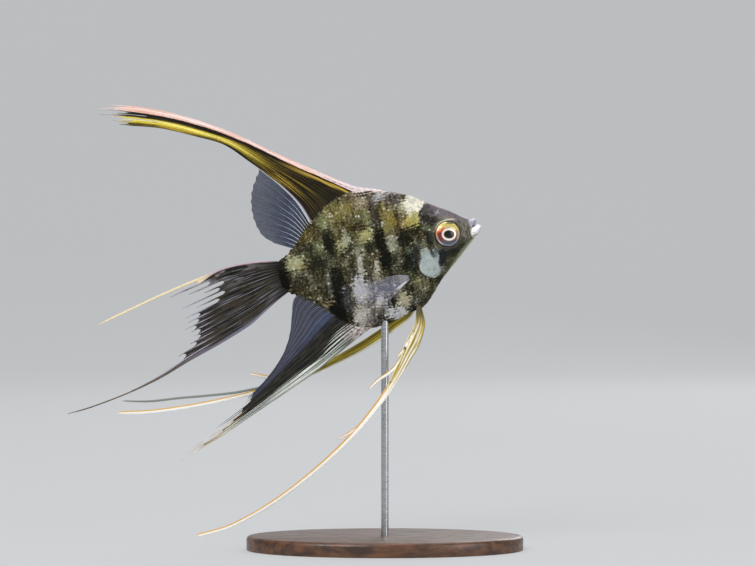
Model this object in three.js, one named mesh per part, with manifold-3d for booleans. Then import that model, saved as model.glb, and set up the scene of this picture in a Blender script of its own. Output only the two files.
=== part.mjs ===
// A life-size freshwater angelfish (Pterophyllum scalare, marbled, long-finned) as a still display model
// on a small stand. Millimetres, +Z up, head towards +X, the fish's left side towards +Y.
// The origin is the centre of the stand's underside, straight below the rod.
//
// The fish is drawn level in a frame of its own and then pitched nose-up. In that frame a point is
// (s, h, y): s runs back from the tip of the snout, h runs up from the body's axis, y to the fish's left.
import * as THREE from "three";
import { mergeVertices } from "three/addons/utils/BufferGeometryUtils.js";
import Module from "manifold-3d";

const wasm = await Module();
wasm.setup();

// ---------------------------------------------------------------- driving dimensions
const BODY_LENGTH = 70.5; // snout to the end of the tail stalk
const PITCH = THREE.MathUtils.degToRad(13.8); // the fish climbs at this angle
const SNOUT = new THREE.Vector3(32.3, 0, 112); // where the tip of the snout stands
const FIN_THICKNESS = 0.6;
const GAP = 0.3; // clearance between neighbouring pieces

const BASE_LENGTH = 96;
const BASE_WIDTH = 62;
const BASE_HEIGHT = 5;
const BASE_BEVEL = 0.8;
const ROD_RADIUS = 1.3;
const ROD_TOP = 81; // reaches past the belly's keel before the saddle is cut in it

// ---------------------------------------------------------------- body profile, [s, value]
const BACK = [
  [0, 1.2], [1, 2.6], [3.5, 4.2], [8, 7.8], [14, 11.8], [20, 16.2], [27, 19.3], [34, 21.7],
  [40, 22.5], [46, 21.3], [52, 18.3], [58, 13.9], [62.5, 9.4], [66.5, 6.5], [BODY_LENGTH, 5.4],
];
const BELLY = [
  [0, -2.0], [1.3, -2.9], [3, -4.4], [5.3, -6.2], [9, -9.2], [13, -12.1], [17, -15.3], [20.5, -18.9],
  [24.5, -22.2], [30, -23.4], [36, -24.9], [42, -25.4], [48, -24.0], [53, -20.6], [58, -15.4],
  [63, -10.8], [67, -7.5], [BODY_LENGTH, -6.1],
];
const HALF_WIDTH = [
  [0, 1.0], [1.5, 1.8], [4, 2.8], [7, 3.8], [11, 4.8], [16, 5.6], [22, 6.0], [28, 5.9],
  [36, 5.3], [45, 4.2], [54, 3.0], [62, 2.0], [BODY_LENGTH, 1.0],
];
const WIDEST_LEVEL = [[0, -0.6], [8, -0.8], [20, -2.5], [34, -3.5], [50, -1.5], [62, -0.8], [BODY_LENGTH, -0.4]];
const KEEL = 1.45; // 1 gives oval sections, more gives a sharper back and belly

// ---------------------------------------------------------------- head
const EYE = { s: 11, h: 0.1, y: 4.0, radius: 4.7, depth: 1.8, forward: 10 };
const UPPER_LIP = { s: 1.7, h: 1.75, length: 1.6, height: 1.15, width: 1.9, tilt: 34 };
const LOWER_LIP = { s: 1.0, h: -0.9, length: 2.2, height: 1.45, width: 1.8, tilt: 38 };
const GILL_COVER = [
  [14.6, 5.2], [18.6, 3.2], [21.3, -0.6], [23.1, -5.2], [23.6, -8.8], [22.2, -11.6], [18.9, -13.5],
  [15.8, -12.6], [14.4, -8.4], [13.9, -3.6],
];
const GILL_COVER_THICKNESS = 1.1;
const NAPE_CUT = [[19.5, 25], [19.3, 5.6], [22.0, -0.3], [24.0, -5.2], [24.5, -9.0], [22.8, -12.4], [19, -14.4], [13, -14.6], [8, -30]];
const TAIL_CUT = [[66.5, 20], [64.6, 2], [64.6, -3], [65.8, -20]];

// ---------------------------------------------------------------- fins, [s, h]
// A fin is a fan of rays between its first and its last ray. ends and splits are shares of a ray's
// length: where each ray stops, and where the web between it and the next one stops.
const DORSAL_FRONT = {
  first: [[33, 19.0], [39, 23.8], [46.4, 29.3], [55, 35.8], [64, 43], [76, 52.6], [89, 60.9], [101, 67], [112, 71.1], [117.8, 71.9]],
  last: [[55.5, 16.0], [57.6, 22.4], [61.6, 29.0], [66, 34.6], [71.3, 41], [78.4, 48.8], [86.2, 53.5], [98.8, 60], [112.7, 64.8], [119.5, 67.4]],
  ends: [0.965, 1, 0.985, 0.93, 1, 0.985, 0.9, 0.935, 0.91],
  splits: [0.94, 0.95, 0.9, 0.83, 0.95, 0.76, 0.87, 0.88],
};
const DORSAL_REAR = {
  first: [[56.3, 15.0], [59.2, 23.4], [63.2, 30.0], [69.0, 37.6]],
  last: [[62.0, 6.6], [66.4, 9.4], [70, 11.4]],
  edge: [[69.0, 37.6], [73.6, 30.2], [75.0, 22.6], [73.6, 15.4], [70, 11.4]],
  ends: [1, 1, 0.98, 1, 0.98, 1, 1],
  splits: [0.98, 0.96, 0.96, 0.96, 0.96, 0.98],
};
const ANAL = {
  first: [[40.5, -23.0], [49.4, -26.9], [56.7, -30.3], [64.8, -34.1], [76.7, -38.8], [92.4, -44.8], [104.2, -49.3], [120.4, -54.1]],
  last: [[62.5, -7.6], [67.4, -9.0], [69.9, -14.5], [72.2, -20.5], [75.6, -26.6], [82.2, -33.6]],
  ends: [1, 0.99, 1, 0.86, 0.92, 0.99, 0.82, 0.86, 0.9, 0.94, 0.96, 0.98, 0.99, 1],
  splits: [0.9, 0.84, 0.8, 0.78, 0.8, 0.78, 0.8, 0.84, 0.88, 0.92, 0.94, 0.96, 0.97],
};
const TAIL_FIRST = [[67.5, 4.0], [76.4, 6.1], [86.9, 6.9], [98, 5.6], [112.7, 3.4], [127.7, 0.7], [136.3, -1.0]];
const TAIL_LAST = [[66.5, -4.8], [73.6, -8.0], [79, -10.9], [85, -14.1], [96.6, -18.0], [108, -21.2], [119.6, -24.8], [131, -27.2], [145.7, -29.1], [154.3, -29.4]];
const TAIL = {
  first: TAIL_FIRST,
  last: TAIL_LAST,
  ends: [1, 0.62, 0.5, 0.39, 0.53, 0.43, 0.51, 0.5, 0.51, 0.46, 0.45, 0.47, 0.52, 0.66, 1],
  splits: [0.46, 0.4, 0.31, 0.33, 0.3, 0.31, 0.42, 0.43, 0.44, 0.42, 0.42, 0.44, 0.46, 0.52],
};
const TAIL_UPPER_RAYS = 3; // the upper lobe holds rays 0 to 3
const TAIL_LOWER_RAYS = 3; // and the lower lobe the last 4
const PECTORAL = {
  first: [[26.4, -9.8], [31, -8.8], [37, -9.0], [43.5, -10.2]],
  last: [[27.0, -12.6], [29.6, -13.6], [33.9, -15.8], [36.4, -18.2]],
  edge: [[43.5, -10.2], [44.2, -12.6], [43.2, -15.2], [40.6, -17.4], [36.4, -18.2]],
  ends: [1, 1, 1, 1, 1, 1, 1],
  splits: [0.97, 0.96, 0.95, 0.95, 0.96, 0.97],
};
const PELVIC_RIGHT = {
  centre: [
    [26.6, -20.5], [26.9, -23.4], [27.6, -27.8], [30.3, -31.9], [34.9, -37.4], [40.5, -43.9],
    [47.0, -50.1], [59.7, -59.5], [75.1, -68.2], [91.6, -75.3], [107.4, -79.6], [119.8, -80.2],
  ],
  widths: [[0, 3.4], [0.06, 3.9], [0.12, 4.8], [0.17, 3.8], [0.25, 2.4], [0.45, 1.7], [1, 1.1]],
  branches: [
    [[35.4, -35.9], [38.8, -39.6], [42.1, -41.6], [46.0, -43.0], [50.3, -45.4]],
    [[42.0, -44.6], [46.9, -49.4], [53.4, -55.1], [59.3, -58.1], [64.8, -59.4]],
  ],
};
const PELVIC_LEFT = {
  centre: [
    [27.0, -20.0], [31.2, -23.9], [36.4, -26.2], [44.0, -29.1], [52.0, -31.6], [60.0, -33.6],
    [70.6, -35.9], [83.6, -37.2], [98.1, -37.4], [112.3, -36.8], [126.4, -35.3], [137.3, -33.1],
  ],
  widths: [[0, 2.8], [0.1, 3.4], [0.22, 3.2], [0.4, 1.9], [0.6, 1.4], [1, 1.0]],
  branches: [
    [[69, -35.8], [76.4, -36.2], [82, -34.2], [89.3, -30.7]],
    [[78, -37.0], [94.3, -36.0], [104.8, -34.7], [115.2, -33.1], [125.7, -31.7], [135.0, -29.3]],
  ],
};
const RAY_WIDTH = 0.6;
const BRANCH_WIDTH = 0.7;

// How far a fin stands off to the fish's left at (s, h): the tail and the streamers sway a little.
const sway = {
  median: (s) => 2.6 * ramp(s, 70, 160) * Math.sin((s - 70) / 28),
  pectoral: (s) => 5.7 + 0.26 * (s - 26) + 0.9 * ramp(s, 26, 34),
  pelvicRight: (s, h) => -1.9 - 6.5 * ramp(-h, 20, 60),
  pelvicLeft: (s) => 1.9 + 6 * ramp(s, 28, 62),
};

// ---------------------------------------------------------------- curves
function ramp(x, from, to) {
  const t = THREE.MathUtils.clamp((x - from) / (to - from), 0, 1);
  return t * t * (3 - 2 * t);
}

// A smooth function through [x, value] points, with Catmull-Rom slopes.
function through(points) {
  const last = points.length - 1;
  const slopes = points.map((_, i) => {
    const [x0, v0] = points[Math.max(i - 1, 0)];
    const [x1, v1] = points[Math.min(i + 1, last)];
    return (v1 - v0) / (x1 - x0);
  });
  return (x) => {
    const clamped = THREE.MathUtils.clamp(x, points[0][0], points[last][0]);
    let i = 0;
    while (i < last - 1 && clamped > points[i + 1][0]) i++;
    const [x0, v0] = points[i];
    const [x1, v1] = points[i + 1];
    const span = x1 - x0;
    const t = (clamped - x0) / span;
    const t2 = t * t;
    const t3 = t2 * t;
    return (
      (2 * t3 - 3 * t2 + 1) * v0 + (t3 - 2 * t2 + t) * span * slopes[i] +
      (3 * t2 - 2 * t3) * v1 + (t3 - t2) * span * slopes[i + 1]
    );
  };
}

// A smooth line through [s, h] points. It takes a share of its length and gives a THREE.Vector2.
function line(points) {
  const far = [0];
  for (let i = 1; i < points.length; i++)
    far.push(far[i - 1] + Math.hypot(points[i][0] - points[i - 1][0], points[i][1] - points[i - 1][1]));
  const length = far[far.length - 1];
  const s = through(points.map((p, i) => [far[i], p[0]]));
  const h = through(points.map((p, i) => [far[i], p[1]]));
  return (share) => new THREE.Vector2(s(share * length), h(share * length));
}

const back = through(BACK);
const belly = through(BELLY);
const halfWidth = through(HALF_WIDTH);
const widestLevel = through(WIDEST_LEVEL);

// ---------------------------------------------------------------- solids
// A closed geometry as a solid. Only its positions matter, and doubled vertices are merged.
function solid(geometry) {
  const bare = new THREE.BufferGeometry().setAttribute("position", geometry.getAttribute("position").clone());
  if (geometry.index) bare.setIndex(geometry.index.clone());
  const merged = mergeVertices(bare, 1e-4);
  return new wasm.Manifold(
    new wasm.Mesh({
      numProp: 3,
      vertProperties: new Float32Array(merged.attributes.position.array),
      triVerts: new Uint32Array(merged.index.array),
    }),
  );
}

function geometryOf(made) {
  const mesh = made.getMesh();
  const positions = new Float32Array(mesh.numVert * 3);
  for (let i = 0; i < mesh.numVert; i++)
    positions.set(mesh.vertProperties.subarray(i * mesh.numProp, i * mesh.numProp + 3), i * 3);
  const geometry = new THREE.BufferGeometry();
  geometry.setAttribute("position", new THREE.BufferAttribute(positions, 3));
  geometry.setIndex(new THREE.BufferAttribute(new Uint32Array(mesh.triVerts), 1));
  geometry.computeVertexNormals();
  return geometry;
}

// The largest connected piece of a solid, without the crumbs that a cut can leave.
function largest(made) {
  return made.decompose().sort((a, b) => b.volume() - a.volume())[0];
}

// The whole body, grown by offset all round: a sphere whose poles are the snout and the tail's end,
// with each of its rings drawn out to the body's section there.
function bodySolid(offset) {
  const RINGS = 32;
  const AROUND = 24;
  const NOSE_ROUNDING = 1.6; // rings crowd towards the snout by this power
  const sphere = new THREE.SphereGeometry(1, AROUND, RINGS);
  const position = sphere.getAttribute("position");
  const uv = sphere.getAttribute("uv");
  for (let i = 0; i < position.count; i++) {
    const along = 1 - uv.getY(i);
    const angle = 2 * Math.PI * uv.getX(i);
    const s = BODY_LENGTH * along ** NOSE_ROUNDING;
    const pole = along === 0 || along === 1;
    const level = widestLevel(s);
    const rise = Math.sin(angle) > 0 ? back(s) + offset - level : level - belly(s) + offset;
    const side = Math.sign(Math.cos(angle)) * Math.abs(Math.cos(angle)) ** KEEL;
    const reach = pole ? 0 : 1;
    const end = along === 0 ? offset + 0.4 : along === 1 ? -offset - 0.2 : 0;
    position.setXYZ(i, -s + end, reach * (halfWidth(s) + offset) * side, level + reach * rise * Math.sin(angle));
  }
  return solid(sphere);
}

// A plate along y with this outline in the (s, h) plane, from y = from to y = to.
function plate(outline, from, to) {
  const shape = new THREE.Shape(outline.map((p) => new THREE.Vector2(-p.x, p.y)));
  const geometry = new THREE.ExtrudeGeometry(shape, { depth: to - from, bevelEnabled: false, steps: 1 });
  geometry.rotateX(Math.PI / 2); // the shape's y becomes z, and its depth runs along -y
  geometry.translate(0, to, 0);
  return geometry;
}

function smoothOutline(points, steps) {
  const closed = new THREE.SplineCurve(points.map(([s, h]) => new THREE.Vector2(s, h)).concat(new THREE.Vector2(...points[0])));
  return closed.getPoints(steps).slice(0, -1);
}

function ellipsoid(place, grow) {
  const ball = new THREE.SphereGeometry(1, 14, 10);
  ball.scale(place.length + grow, place.width + grow, place.height + grow);
  ball.rotateY(-THREE.MathUtils.degToRad(place.tilt));
  ball.translate(-place.s, place.y ?? 0, place.h);
  return solid(ball);
}

// An eyeball is a flattened ball that looks out and a little forward. side is 1 for the left one.
function eyeSolid(side, grow) {
  const ball = new THREE.SphereGeometry(1, 20, 12);
  ball.rotateX(Math.PI / 2);
  ball.scale(EYE.radius + grow, EYE.depth + grow, EYE.radius + grow);
  ball.rotateZ(-side * THREE.MathUtils.degToRad(EYE.forward));
  ball.translate(-EYE.s, side * EYE.y, EYE.h);
  return solid(ball);
}

// ---------------------------------------------------------------- fins
// A point of the fan at u across the rays and t along them.
function fanPoint(fan, u, t) {
  const p = fan.firstLine(t).lerp(fan.lastLine(t), u);
  if (!fan.edgeLine) return p;
  const chord = fan.firstLine(1).lerp(fan.lastLine(1), u);
  return p.add(fan.edgeLine(u).sub(chord).multiplyScalar(t * t));
}

// The comb-shaped outline of rays from index a to index b of a fan.
function fanOutline(fin, a, b, rayWidth) {
  const STEPS = 14;
  const fan = { firstLine: line(fin.first), lastLine: line(fin.last), edgeLine: fin.edge && line(fin.edge) };
  const across = fin.ends.length - 1;
  const along = fan.firstLine(0.5).sub(fan.firstLine(0.4));
  const over = fan.lastLine(0.5).sub(fan.firstLine(0.5));
  const turn = Math.sign(over.x * along.y - over.y * along.x); // which way round the rays are numbered
  const outline = [];
  // A point on one side of a ray: way is 1 towards the rays before it and -1 towards those after it.
  const addSide = (ray, t, way) => {
    const u = ray / across;
    const step = 0.002;
    const ahead = fanPoint(fan, u, t + step).sub(fanPoint(fan, u, t - step)).normalize();
    const half = (rayWidth / 2) * (1 - 0.4 * ramp(t, 0.8 * fin.ends[ray], fin.ends[ray]));
    outline.push(fanPoint(fan, u, t).add(new THREE.Vector2(-ahead.y, ahead.x).multiplyScalar(way * turn * half)));
  };
  for (let ray = a; ray <= b; ray++) {
    const end = fin.ends[ray];
    const before = ray === a ? 0 : fin.splits[ray - 1];
    const after = ray === b ? 0 : fin.splits[ray];
    const rise = Math.max(1, Math.round((end - before) * STEPS));
    const fall = Math.max(1, Math.round((end - after) * STEPS));
    for (let k = 0; k <= rise; k++) addSide(ray, before + ((end - before) * k) / rise, 1);
    for (let k = 0; k <= fall; k++) addSide(ray, end - ((end - after) * k) / fall, -1);
  }
  return outline;
}

// A sheet with this outline, bent sideways by stand(s, h).
function finSheet(outline, stand) {
  const geometry = plate(outline, -FIN_THICKNESS / 2, FIN_THICKNESS / 2);
  const position = geometry.getAttribute("position");
  for (let i = 0; i < position.count; i++)
    position.setY(i, position.getY(i) + stand(-position.getX(i), position.getZ(i)));
  return solid(geometry);
}

function fanSolid(fin, stand, a = 0, b = fin.ends.length - 1) {
  return finSheet(fanOutline(fin, a, b, RAY_WIDTH), stand);
}

// A ribbon along a centre line. Its width at a share of its length comes from widths.
function ribbonSolid(centre, widths, steps, stand) {
  const middle = line(centre);
  const width = through(widths);
  const side = (way) =>
    Array.from({ length: steps + 1 }, (_, k) => {
      const t = k / steps;
      const ahead = middle(t + 0.01).sub(middle(t - 0.01)).normalize();
      return middle(t).add(new THREE.Vector2(-ahead.y, ahead.x).multiplyScalar((way * width(t)) / 2));
    });
  return finSheet([...side(1), ...side(-1).reverse()], stand);
}

// ---------------------------------------------------------------- materials
const SKIN = new THREE.MeshStandardMaterial({ color: 0x6d6850, roughness: 0.4 });
const LIP = new THREE.MeshStandardMaterial({ color: 0xd8d0d2, roughness: 0.4 });
const CHEEK = new THREE.MeshStandardMaterial({ color: 0xb4bab4, roughness: 0.35 });
const EYEBALL = new THREE.MeshStandardMaterial({ color: 0xc9a23c, roughness: 0.1 });
const FIN = new THREE.MeshStandardMaterial({ color: 0x4a4538, roughness: 0.45 });
const CLEAR_FIN = new THREE.MeshStandardMaterial({ color: 0x8f97a8, roughness: 0.35 });
const PELVIC = new THREE.MeshStandardMaterial({ color: 0xd9c68c, roughness: 0.4 });
const WOOD = new THREE.MeshStandardMaterial({ color: 0x3a2418, roughness: 0.45 });
const STEEL = new THREE.MeshStandardMaterial({ color: 0xb9bcc0, roughness: 0.3, metalness: 1 });

// ---------------------------------------------------------------- the fish
const fish = new THREE.Group();
fish.position.copy(SNOUT);
fish.rotation.y = -PITCH;

function piece(name, made, material, parent = fish) {
  const mesh = new THREE.Mesh(geometryOf(largest(made)), material);
  mesh.name = name;
  parent.add(mesh);
}

const body = bodySolid(0);
const grownBody = bodySolid(GAP);
const FAR = 40;

const headSide = solid(plate([...smoothOpen(NAPE_CUT), new THREE.Vector2(-FAR, -30), new THREE.Vector2(-FAR, 25)], -FAR, FAR));
const headCut = solid(plate(wall(NAPE_CUT, GAP), -FAR, FAR));
const tailSide = solid(plate([...smoothOpen(TAIL_CUT), new THREE.Vector2(90, -20), new THREE.Vector2(90, 20)], -FAR, FAR));
const tailCut = solid(plate(wall(TAIL_CUT, GAP), -FAR, FAR));

function smoothOpen(points) {
  return new THREE.SplineCurve(points.map(([s, h]) => new THREE.Vector2(s, h))).getPoints(20);
}

// A thin closed outline that follows a line: the kerf of a cut.
function wall(points, width) {
  const mid = smoothOpen(points);
  const offset = (way) =>
    mid.map((p, i) => {
      const ahead = mid[Math.min(i + 1, mid.length - 1)].clone().sub(mid[Math.max(i - 1, 0)]).normalize();
      return p.clone().add(new THREE.Vector2(-ahead.y, ahead.x).multiplyScalar((way * width) / 2));
    });
  return [...offset(1), ...offset(-1).reverse()];
}

const cover = smoothOutline(GILL_COVER, 28);
const coverCentre = cover.reduce((sum, p) => sum.add(p), new THREE.Vector2()).divideScalar(cover.length);
const grownCover = cover.map((p) => p.clone().add(p.clone().sub(coverCentre).normalize().multiplyScalar(GAP)));
const core = bodySolid(-GILL_COVER_THICKNESS);
const deepCore = bodySolid(-GILL_COVER_THICKNESS - GAP);

const upperLip = ellipsoid(UPPER_LIP, 0);
const upperLipRoom = ellipsoid(UPPER_LIP, GAP);
const lowerLipRoom = ellipsoid(LOWER_LIP, GAP);
const lowerLip = ellipsoid(LOWER_LIP, 0).subtract(upperLipRoom);

let head = body.intersect(headSide).subtract(headCut).subtract(upperLipRoom).subtract(lowerLipRoom);
for (const side of [-1, 1]) {
  const from = side < 0 ? -FAR : 0.5;
  const room = solid(plate(grownCover, from, from + FAR - 0.5)).subtract(deepCore);
  head = head.subtract(room).subtract(eyeSolid(side, GAP));
}
piece("head", head, SKIN);
piece("upper_lip", upperLip, LIP);
piece("lower_lip", lowerLip, LIP);
for (const [name, side] of [["left", 1], ["right", -1]]) {
  const from = side < 0 ? -FAR : 0.5;
  const gillCover = body.intersect(solid(plate(cover, from, from + FAR - 0.5))).subtract(core);
  piece("gill_cover_" + name, gillCover.subtract(eyeSolid(side, GAP)), CHEEK);
  piece("eye_" + name, eyeSolid(side, 0), EYEBALL);
}
piece("trunk", body.subtract(headSide).subtract(headCut).subtract(tailSide).subtract(tailCut), SKIN);
piece("tail_stalk", body.intersect(tailSide).subtract(tailCut), SKIN);

const dorsalFront = fanSolid(DORSAL_FRONT, sway.median).subtract(grownBody);
const dorsalFrontRoom = solid(plate(fanOutline(DORSAL_FRONT, 0, DORSAL_FRONT.ends.length - 1, RAY_WIDTH + 2 * GAP), -FAR, FAR));
piece("dorsal_fin_front", dorsalFront, FIN);
piece("dorsal_fin_rear", fanSolid(DORSAL_REAR, sway.median).subtract(grownBody).subtract(dorsalFrontRoom), CLEAR_FIN);
piece("anal_fin", fanSolid(ANAL, sway.median).subtract(grownBody), FIN);

const rays = TAIL.ends.length - 1;
const lobes = [
  ["tail_fin_upper", 0, TAIL_UPPER_RAYS],
  ["tail_fin_middle", TAIL_UPPER_RAYS, rays - TAIL_LOWER_RAYS],
  ["tail_fin_lower", rays - TAIL_LOWER_RAYS, rays],
];
let taken = grownBody;
for (const [name, a, b] of lobes) {
  piece(name, fanSolid(TAIL, sway.median, a, b).subtract(taken), FIN);
  taken = taken.add(solid(plate(fanOutline(TAIL, a, b, RAY_WIDTH + 2 * GAP), -FAR, FAR)));
}

for (const [name, side] of [["left", 1], ["right", -1]]) {
  const stand = (s, h) => side * sway.pectoral(s, h);
  piece("pectoral_fin_" + name, fanSolid(PECTORAL, stand).subtract(grownBody), CLEAR_FIN);
}
for (const [name, fin, stand] of [
  ["left", PELVIC_LEFT, sway.pelvicLeft],
  ["right", PELVIC_RIGHT, sway.pelvicRight],
]) {
  let made = ribbonSolid(fin.centre, fin.widths, 28, stand);
  for (const branch of fin.branches)
    made = made.add(ribbonSolid(branch, [[0, BRANCH_WIDTH], [1, BRANCH_WIDTH]], 5, stand));
  piece("pelvic_fin_" + name, made.subtract(grownBody), PELVIC);
}

// ---------------------------------------------------------------- the stand
const stand = new THREE.Group();

const oval = new THREE.Shape().absellipse(0, 0, BASE_LENGTH / 2 - BASE_BEVEL, BASE_WIDTH / 2 - BASE_BEVEL, 0, 2 * Math.PI);
const baseGeometry = new THREE.ExtrudeGeometry(oval, {
  depth: BASE_HEIGHT - 2 * BASE_BEVEL,
  bevelThickness: BASE_BEVEL,
  bevelSize: BASE_BEVEL,
  bevelSegments: 1,
  curveSegments: 20,
});
baseGeometry.translate(0, 0, BASE_BEVEL);
piece("stand_base", solid(baseGeometry), WOOD, stand);

// The rod stands on the base, and its top is a saddle that fits the belly.
const rodBottom = BASE_HEIGHT + GAP / 10;
const rod = new THREE.CylinderGeometry(ROD_RADIUS, ROD_RADIUS, ROD_TOP - rodBottom, 20);
rod.rotateX(Math.PI / 2);
rod.translate(0, 0, (ROD_TOP + rodBottom) / 2);
const pose = new THREE.Matrix4().compose(SNOUT, new THREE.Quaternion().setFromEuler(fish.rotation), new THREE.Vector3(1, 1, 1));
const posedBody = solid(geometryOf(grownBody).applyMatrix4(pose));
piece("stand_rod", solid(rod).subtract(posedBody), STEEL, stand);

const model = new THREE.Group();
model.add(fish, stand);
export default model;
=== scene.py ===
"""A life-size freshwater angelfish, marbled and long-finned, as a still model on a small display stand.

Shapes are drawn in the fish's own level frame, in millimetres: s runs back from the snout, h runs up
from the body's axis and y to the fish's left. posed() turns and places them in the row frame.
"""

import math
from types import SimpleNamespace

import bpy
import numpy as np
from mathutils import Matrix, Vector


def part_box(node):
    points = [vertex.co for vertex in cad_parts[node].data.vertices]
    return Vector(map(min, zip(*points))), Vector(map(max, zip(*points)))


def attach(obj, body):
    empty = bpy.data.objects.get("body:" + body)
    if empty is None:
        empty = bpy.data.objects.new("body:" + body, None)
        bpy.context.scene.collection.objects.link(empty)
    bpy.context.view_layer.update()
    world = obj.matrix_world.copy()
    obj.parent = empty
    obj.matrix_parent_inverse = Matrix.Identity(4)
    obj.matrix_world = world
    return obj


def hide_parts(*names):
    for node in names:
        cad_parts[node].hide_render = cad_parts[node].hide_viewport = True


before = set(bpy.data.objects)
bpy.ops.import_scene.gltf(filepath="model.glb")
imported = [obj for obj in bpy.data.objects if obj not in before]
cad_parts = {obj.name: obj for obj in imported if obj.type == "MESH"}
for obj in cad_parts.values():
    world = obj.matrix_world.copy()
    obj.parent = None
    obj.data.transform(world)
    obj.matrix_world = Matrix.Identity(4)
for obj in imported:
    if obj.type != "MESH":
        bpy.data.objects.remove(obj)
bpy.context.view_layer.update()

MM = 0.001
PITCH = math.radians(13.8)  # the fish climbs at this angle
RIGHT, LEFT = -1, 1
SIDES = {"left": LEFT, "right": RIGHT}
chance = np.random.default_rng(11)

# ---------------------------------------------------------------- the body, [s, value] in millimetres
BODY_LENGTH = 70.5
BACK = [
    [0, 1.2], [1, 2.6], [3.5, 4.2], [8, 7.8], [14, 11.8], [20, 16.2], [27, 19.3], [34, 21.7],
    [40, 22.5], [46, 21.3], [52, 18.3], [58, 13.9], [62.5, 9.4], [66.5, 6.5], [BODY_LENGTH, 5.4],
]
BELLY = [
    [0, -2.0], [1.3, -2.9], [3, -4.4], [5.3, -6.2], [9, -9.2], [13, -12.1], [17, -15.3], [20.5, -18.9],
    [24.5, -22.2], [30, -23.4], [36, -24.9], [42, -25.4], [48, -24.0], [53, -20.6], [58, -15.4],
    [63, -10.8], [67, -7.5], [BODY_LENGTH, -6.1],
]
HALF_WIDTH = [
    [0, 1.0], [1.5, 1.8], [4, 2.8], [7, 3.8], [11, 4.8], [16, 5.6], [22, 6.0], [28, 5.9],
    [36, 5.3], [45, 4.2], [54, 3.0], [62, 2.0], [BODY_LENGTH, 1.0],
]
WIDEST_LEVEL = [
    [0, -0.6], [8, -0.8], [20, -2.5], [34, -3.5], [50, -1.5], [62, -0.8], [BODY_LENGTH, -0.4],
]
KEEL = 1.45  # 1 gives oval sections, more gives a sharper back and belly
SCALE_DEPTH = 0.16  # the skin lies this far inside the outline, and the scales fill the rest

EYE_S, EYE_H, EYE_Y = 11.0, 0.1, 4.0
EYE_RADIUS, EYE_DEPTH = 4.45, 1.75
EYE_FORWARD = math.radians(10)
EYE_RIM = 0.42  # the skin's rim round the eye stands this far out from the eye's middle plane
GILL_COVER = [
    [14.6, 5.2], [18.6, 3.2], [21.3, -0.6], [23.1, -5.2], [23.6, -8.8], [22.2, -11.6], [18.9, -13.5],
    [15.8, -12.6], [14.4, -8.4], [13.9, -3.6],
]
LIP_FOLD_DROP, LIP_FOLD_ARCH = 0.3, 0.36  # the fold under the lower lip: its level, and how it arches
LIPS = {
    "upper": {"s": 1.65, "h": 1.95, "length": 1.75, "height": 1.25, "width": 2.1, "tilt": 34},
    "lower": {"s": 1.15, "h": -0.95, "length": 2.35, "height": 1.5, "width": 2.2, "tilt": 38},
}

# ---------------------------------------------------------------- fins, [s, h]
# A fin is a fan of rays between its first and its last ray. ends and splits are shares of a ray's
# length: where each ray stops, and where the web between it and the next one stops.
DORSAL_FRONT = {
    "first": [
        [33, 19.0], [39, 23.8], [46.4, 29.3], [55, 35.8], [64, 43], [76, 52.6], [89, 60.9], [101, 66.9],
        [112, 70.8], [117.8, 71.5],
    ],
    "last": [
        [55.5, 16.0], [57.6, 22.4], [61.6, 29.0], [66, 34.6], [71.3, 41], [78.4, 48.8], [86.2, 53.5],
        [98.8, 60], [112.7, 64.8], [119.5, 67.4],
    ],
    "ends": [0.965, 1, 0.985, 0.93, 1, 0.985, 0.9, 0.935, 0.91],
    "splits": [0.94, 0.95, 0.9, 0.83, 0.95, 0.76, 0.87, 0.88],
}
DORSAL_REAR = {
    "first": [[56.3, 15.0], [59.2, 23.4], [63.2, 30.0], [69.0, 37.6]],
    "last": [[62.0, 6.6], [66.4, 9.4], [70, 11.4]],
    "edge": [[69.0, 37.6], [73.6, 30.2], [75.0, 22.6], [73.6, 15.4], [70, 11.4]],
    "ends": [1, 1, 1, 1, 1, 1, 1, 1, 1, 1, 1],
    "splits": [1, 1, 0.995, 1, 0.99, 1, 0.995, 1, 1, 1],
}
ANAL = {
    "first": [
        [40.5, -23.0], [49.4, -26.9], [56.7, -30.3], [64.8, -34.1], [76.7, -38.8], [92.4, -44.8],
        [104.2, -49.3], [120.4, -54.1],
    ],
    "last": [[62.5, -7.6], [67.4, -9.0], [69.9, -14.5], [72.2, -20.5], [75.6, -26.6], [82.2, -33.6]],
    "ends": [1, 0.99, 1, 0.86, 0.92, 0.99, 0.82, 0.86, 0.9, 0.94, 0.96, 0.98, 0.99, 1],
    "splits": [0.9, 0.84, 0.8, 0.78, 0.8, 0.78, 0.8, 0.84, 0.88, 0.92, 0.94, 0.96, 0.97],
}
TAIL = {
    "first": [
        [67.5, 4.0], [76.4, 6.1], [86.9, 6.9], [98, 5.6], [112.7, 3.4], [127.7, 0.7], [136.3, -1.0],
    ],
    "last": [
        [66.5, -4.8], [73.6, -8.0], [79, -10.9], [85, -14.1], [96.6, -18.0], [108, -21.2],
        [119.6, -24.8], [131, -27.2], [145.7, -29.1], [153.9, -29.4],
    ],
    "ends": [1, 0.60, 0.5, 0.42, 0.53, 0.46, 0.51, 0.5, 0.51, 0.48, 0.47, 0.49, 0.54, 0.74, 1],
    "splits": [0.46, 0.4, 0.33, 0.35, 0.33, 0.36, 0.45, 0.46, 0.47, 0.45, 0.45, 0.47, 0.52, 0.74],
    "drawn_in": 0.7,  # how far the ray before the last leans to it, in shares of their spacing
}
PECTORAL = {
    "first": [[26.9, -10.8], [31, -9.7], [37, -9.4], [43.5, -10.2]],
    "last": [[27.2, -12.0], [29.8, -13.3], [33.9, -15.8], [36.4, -18.2]],
    "edge": [[43.5, -10.2], [44.2, -12.6], [43.2, -15.2], [40.6, -17.4], [36.4, -18.2]],
    "ends": [1, 0.99, 1, 1, 0.99, 1, 1, 1, 0.99],
    "splits": [0.98, 0.97, 0.96, 0.96, 0.95, 0.96, 0.96, 0.97],
}
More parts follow.
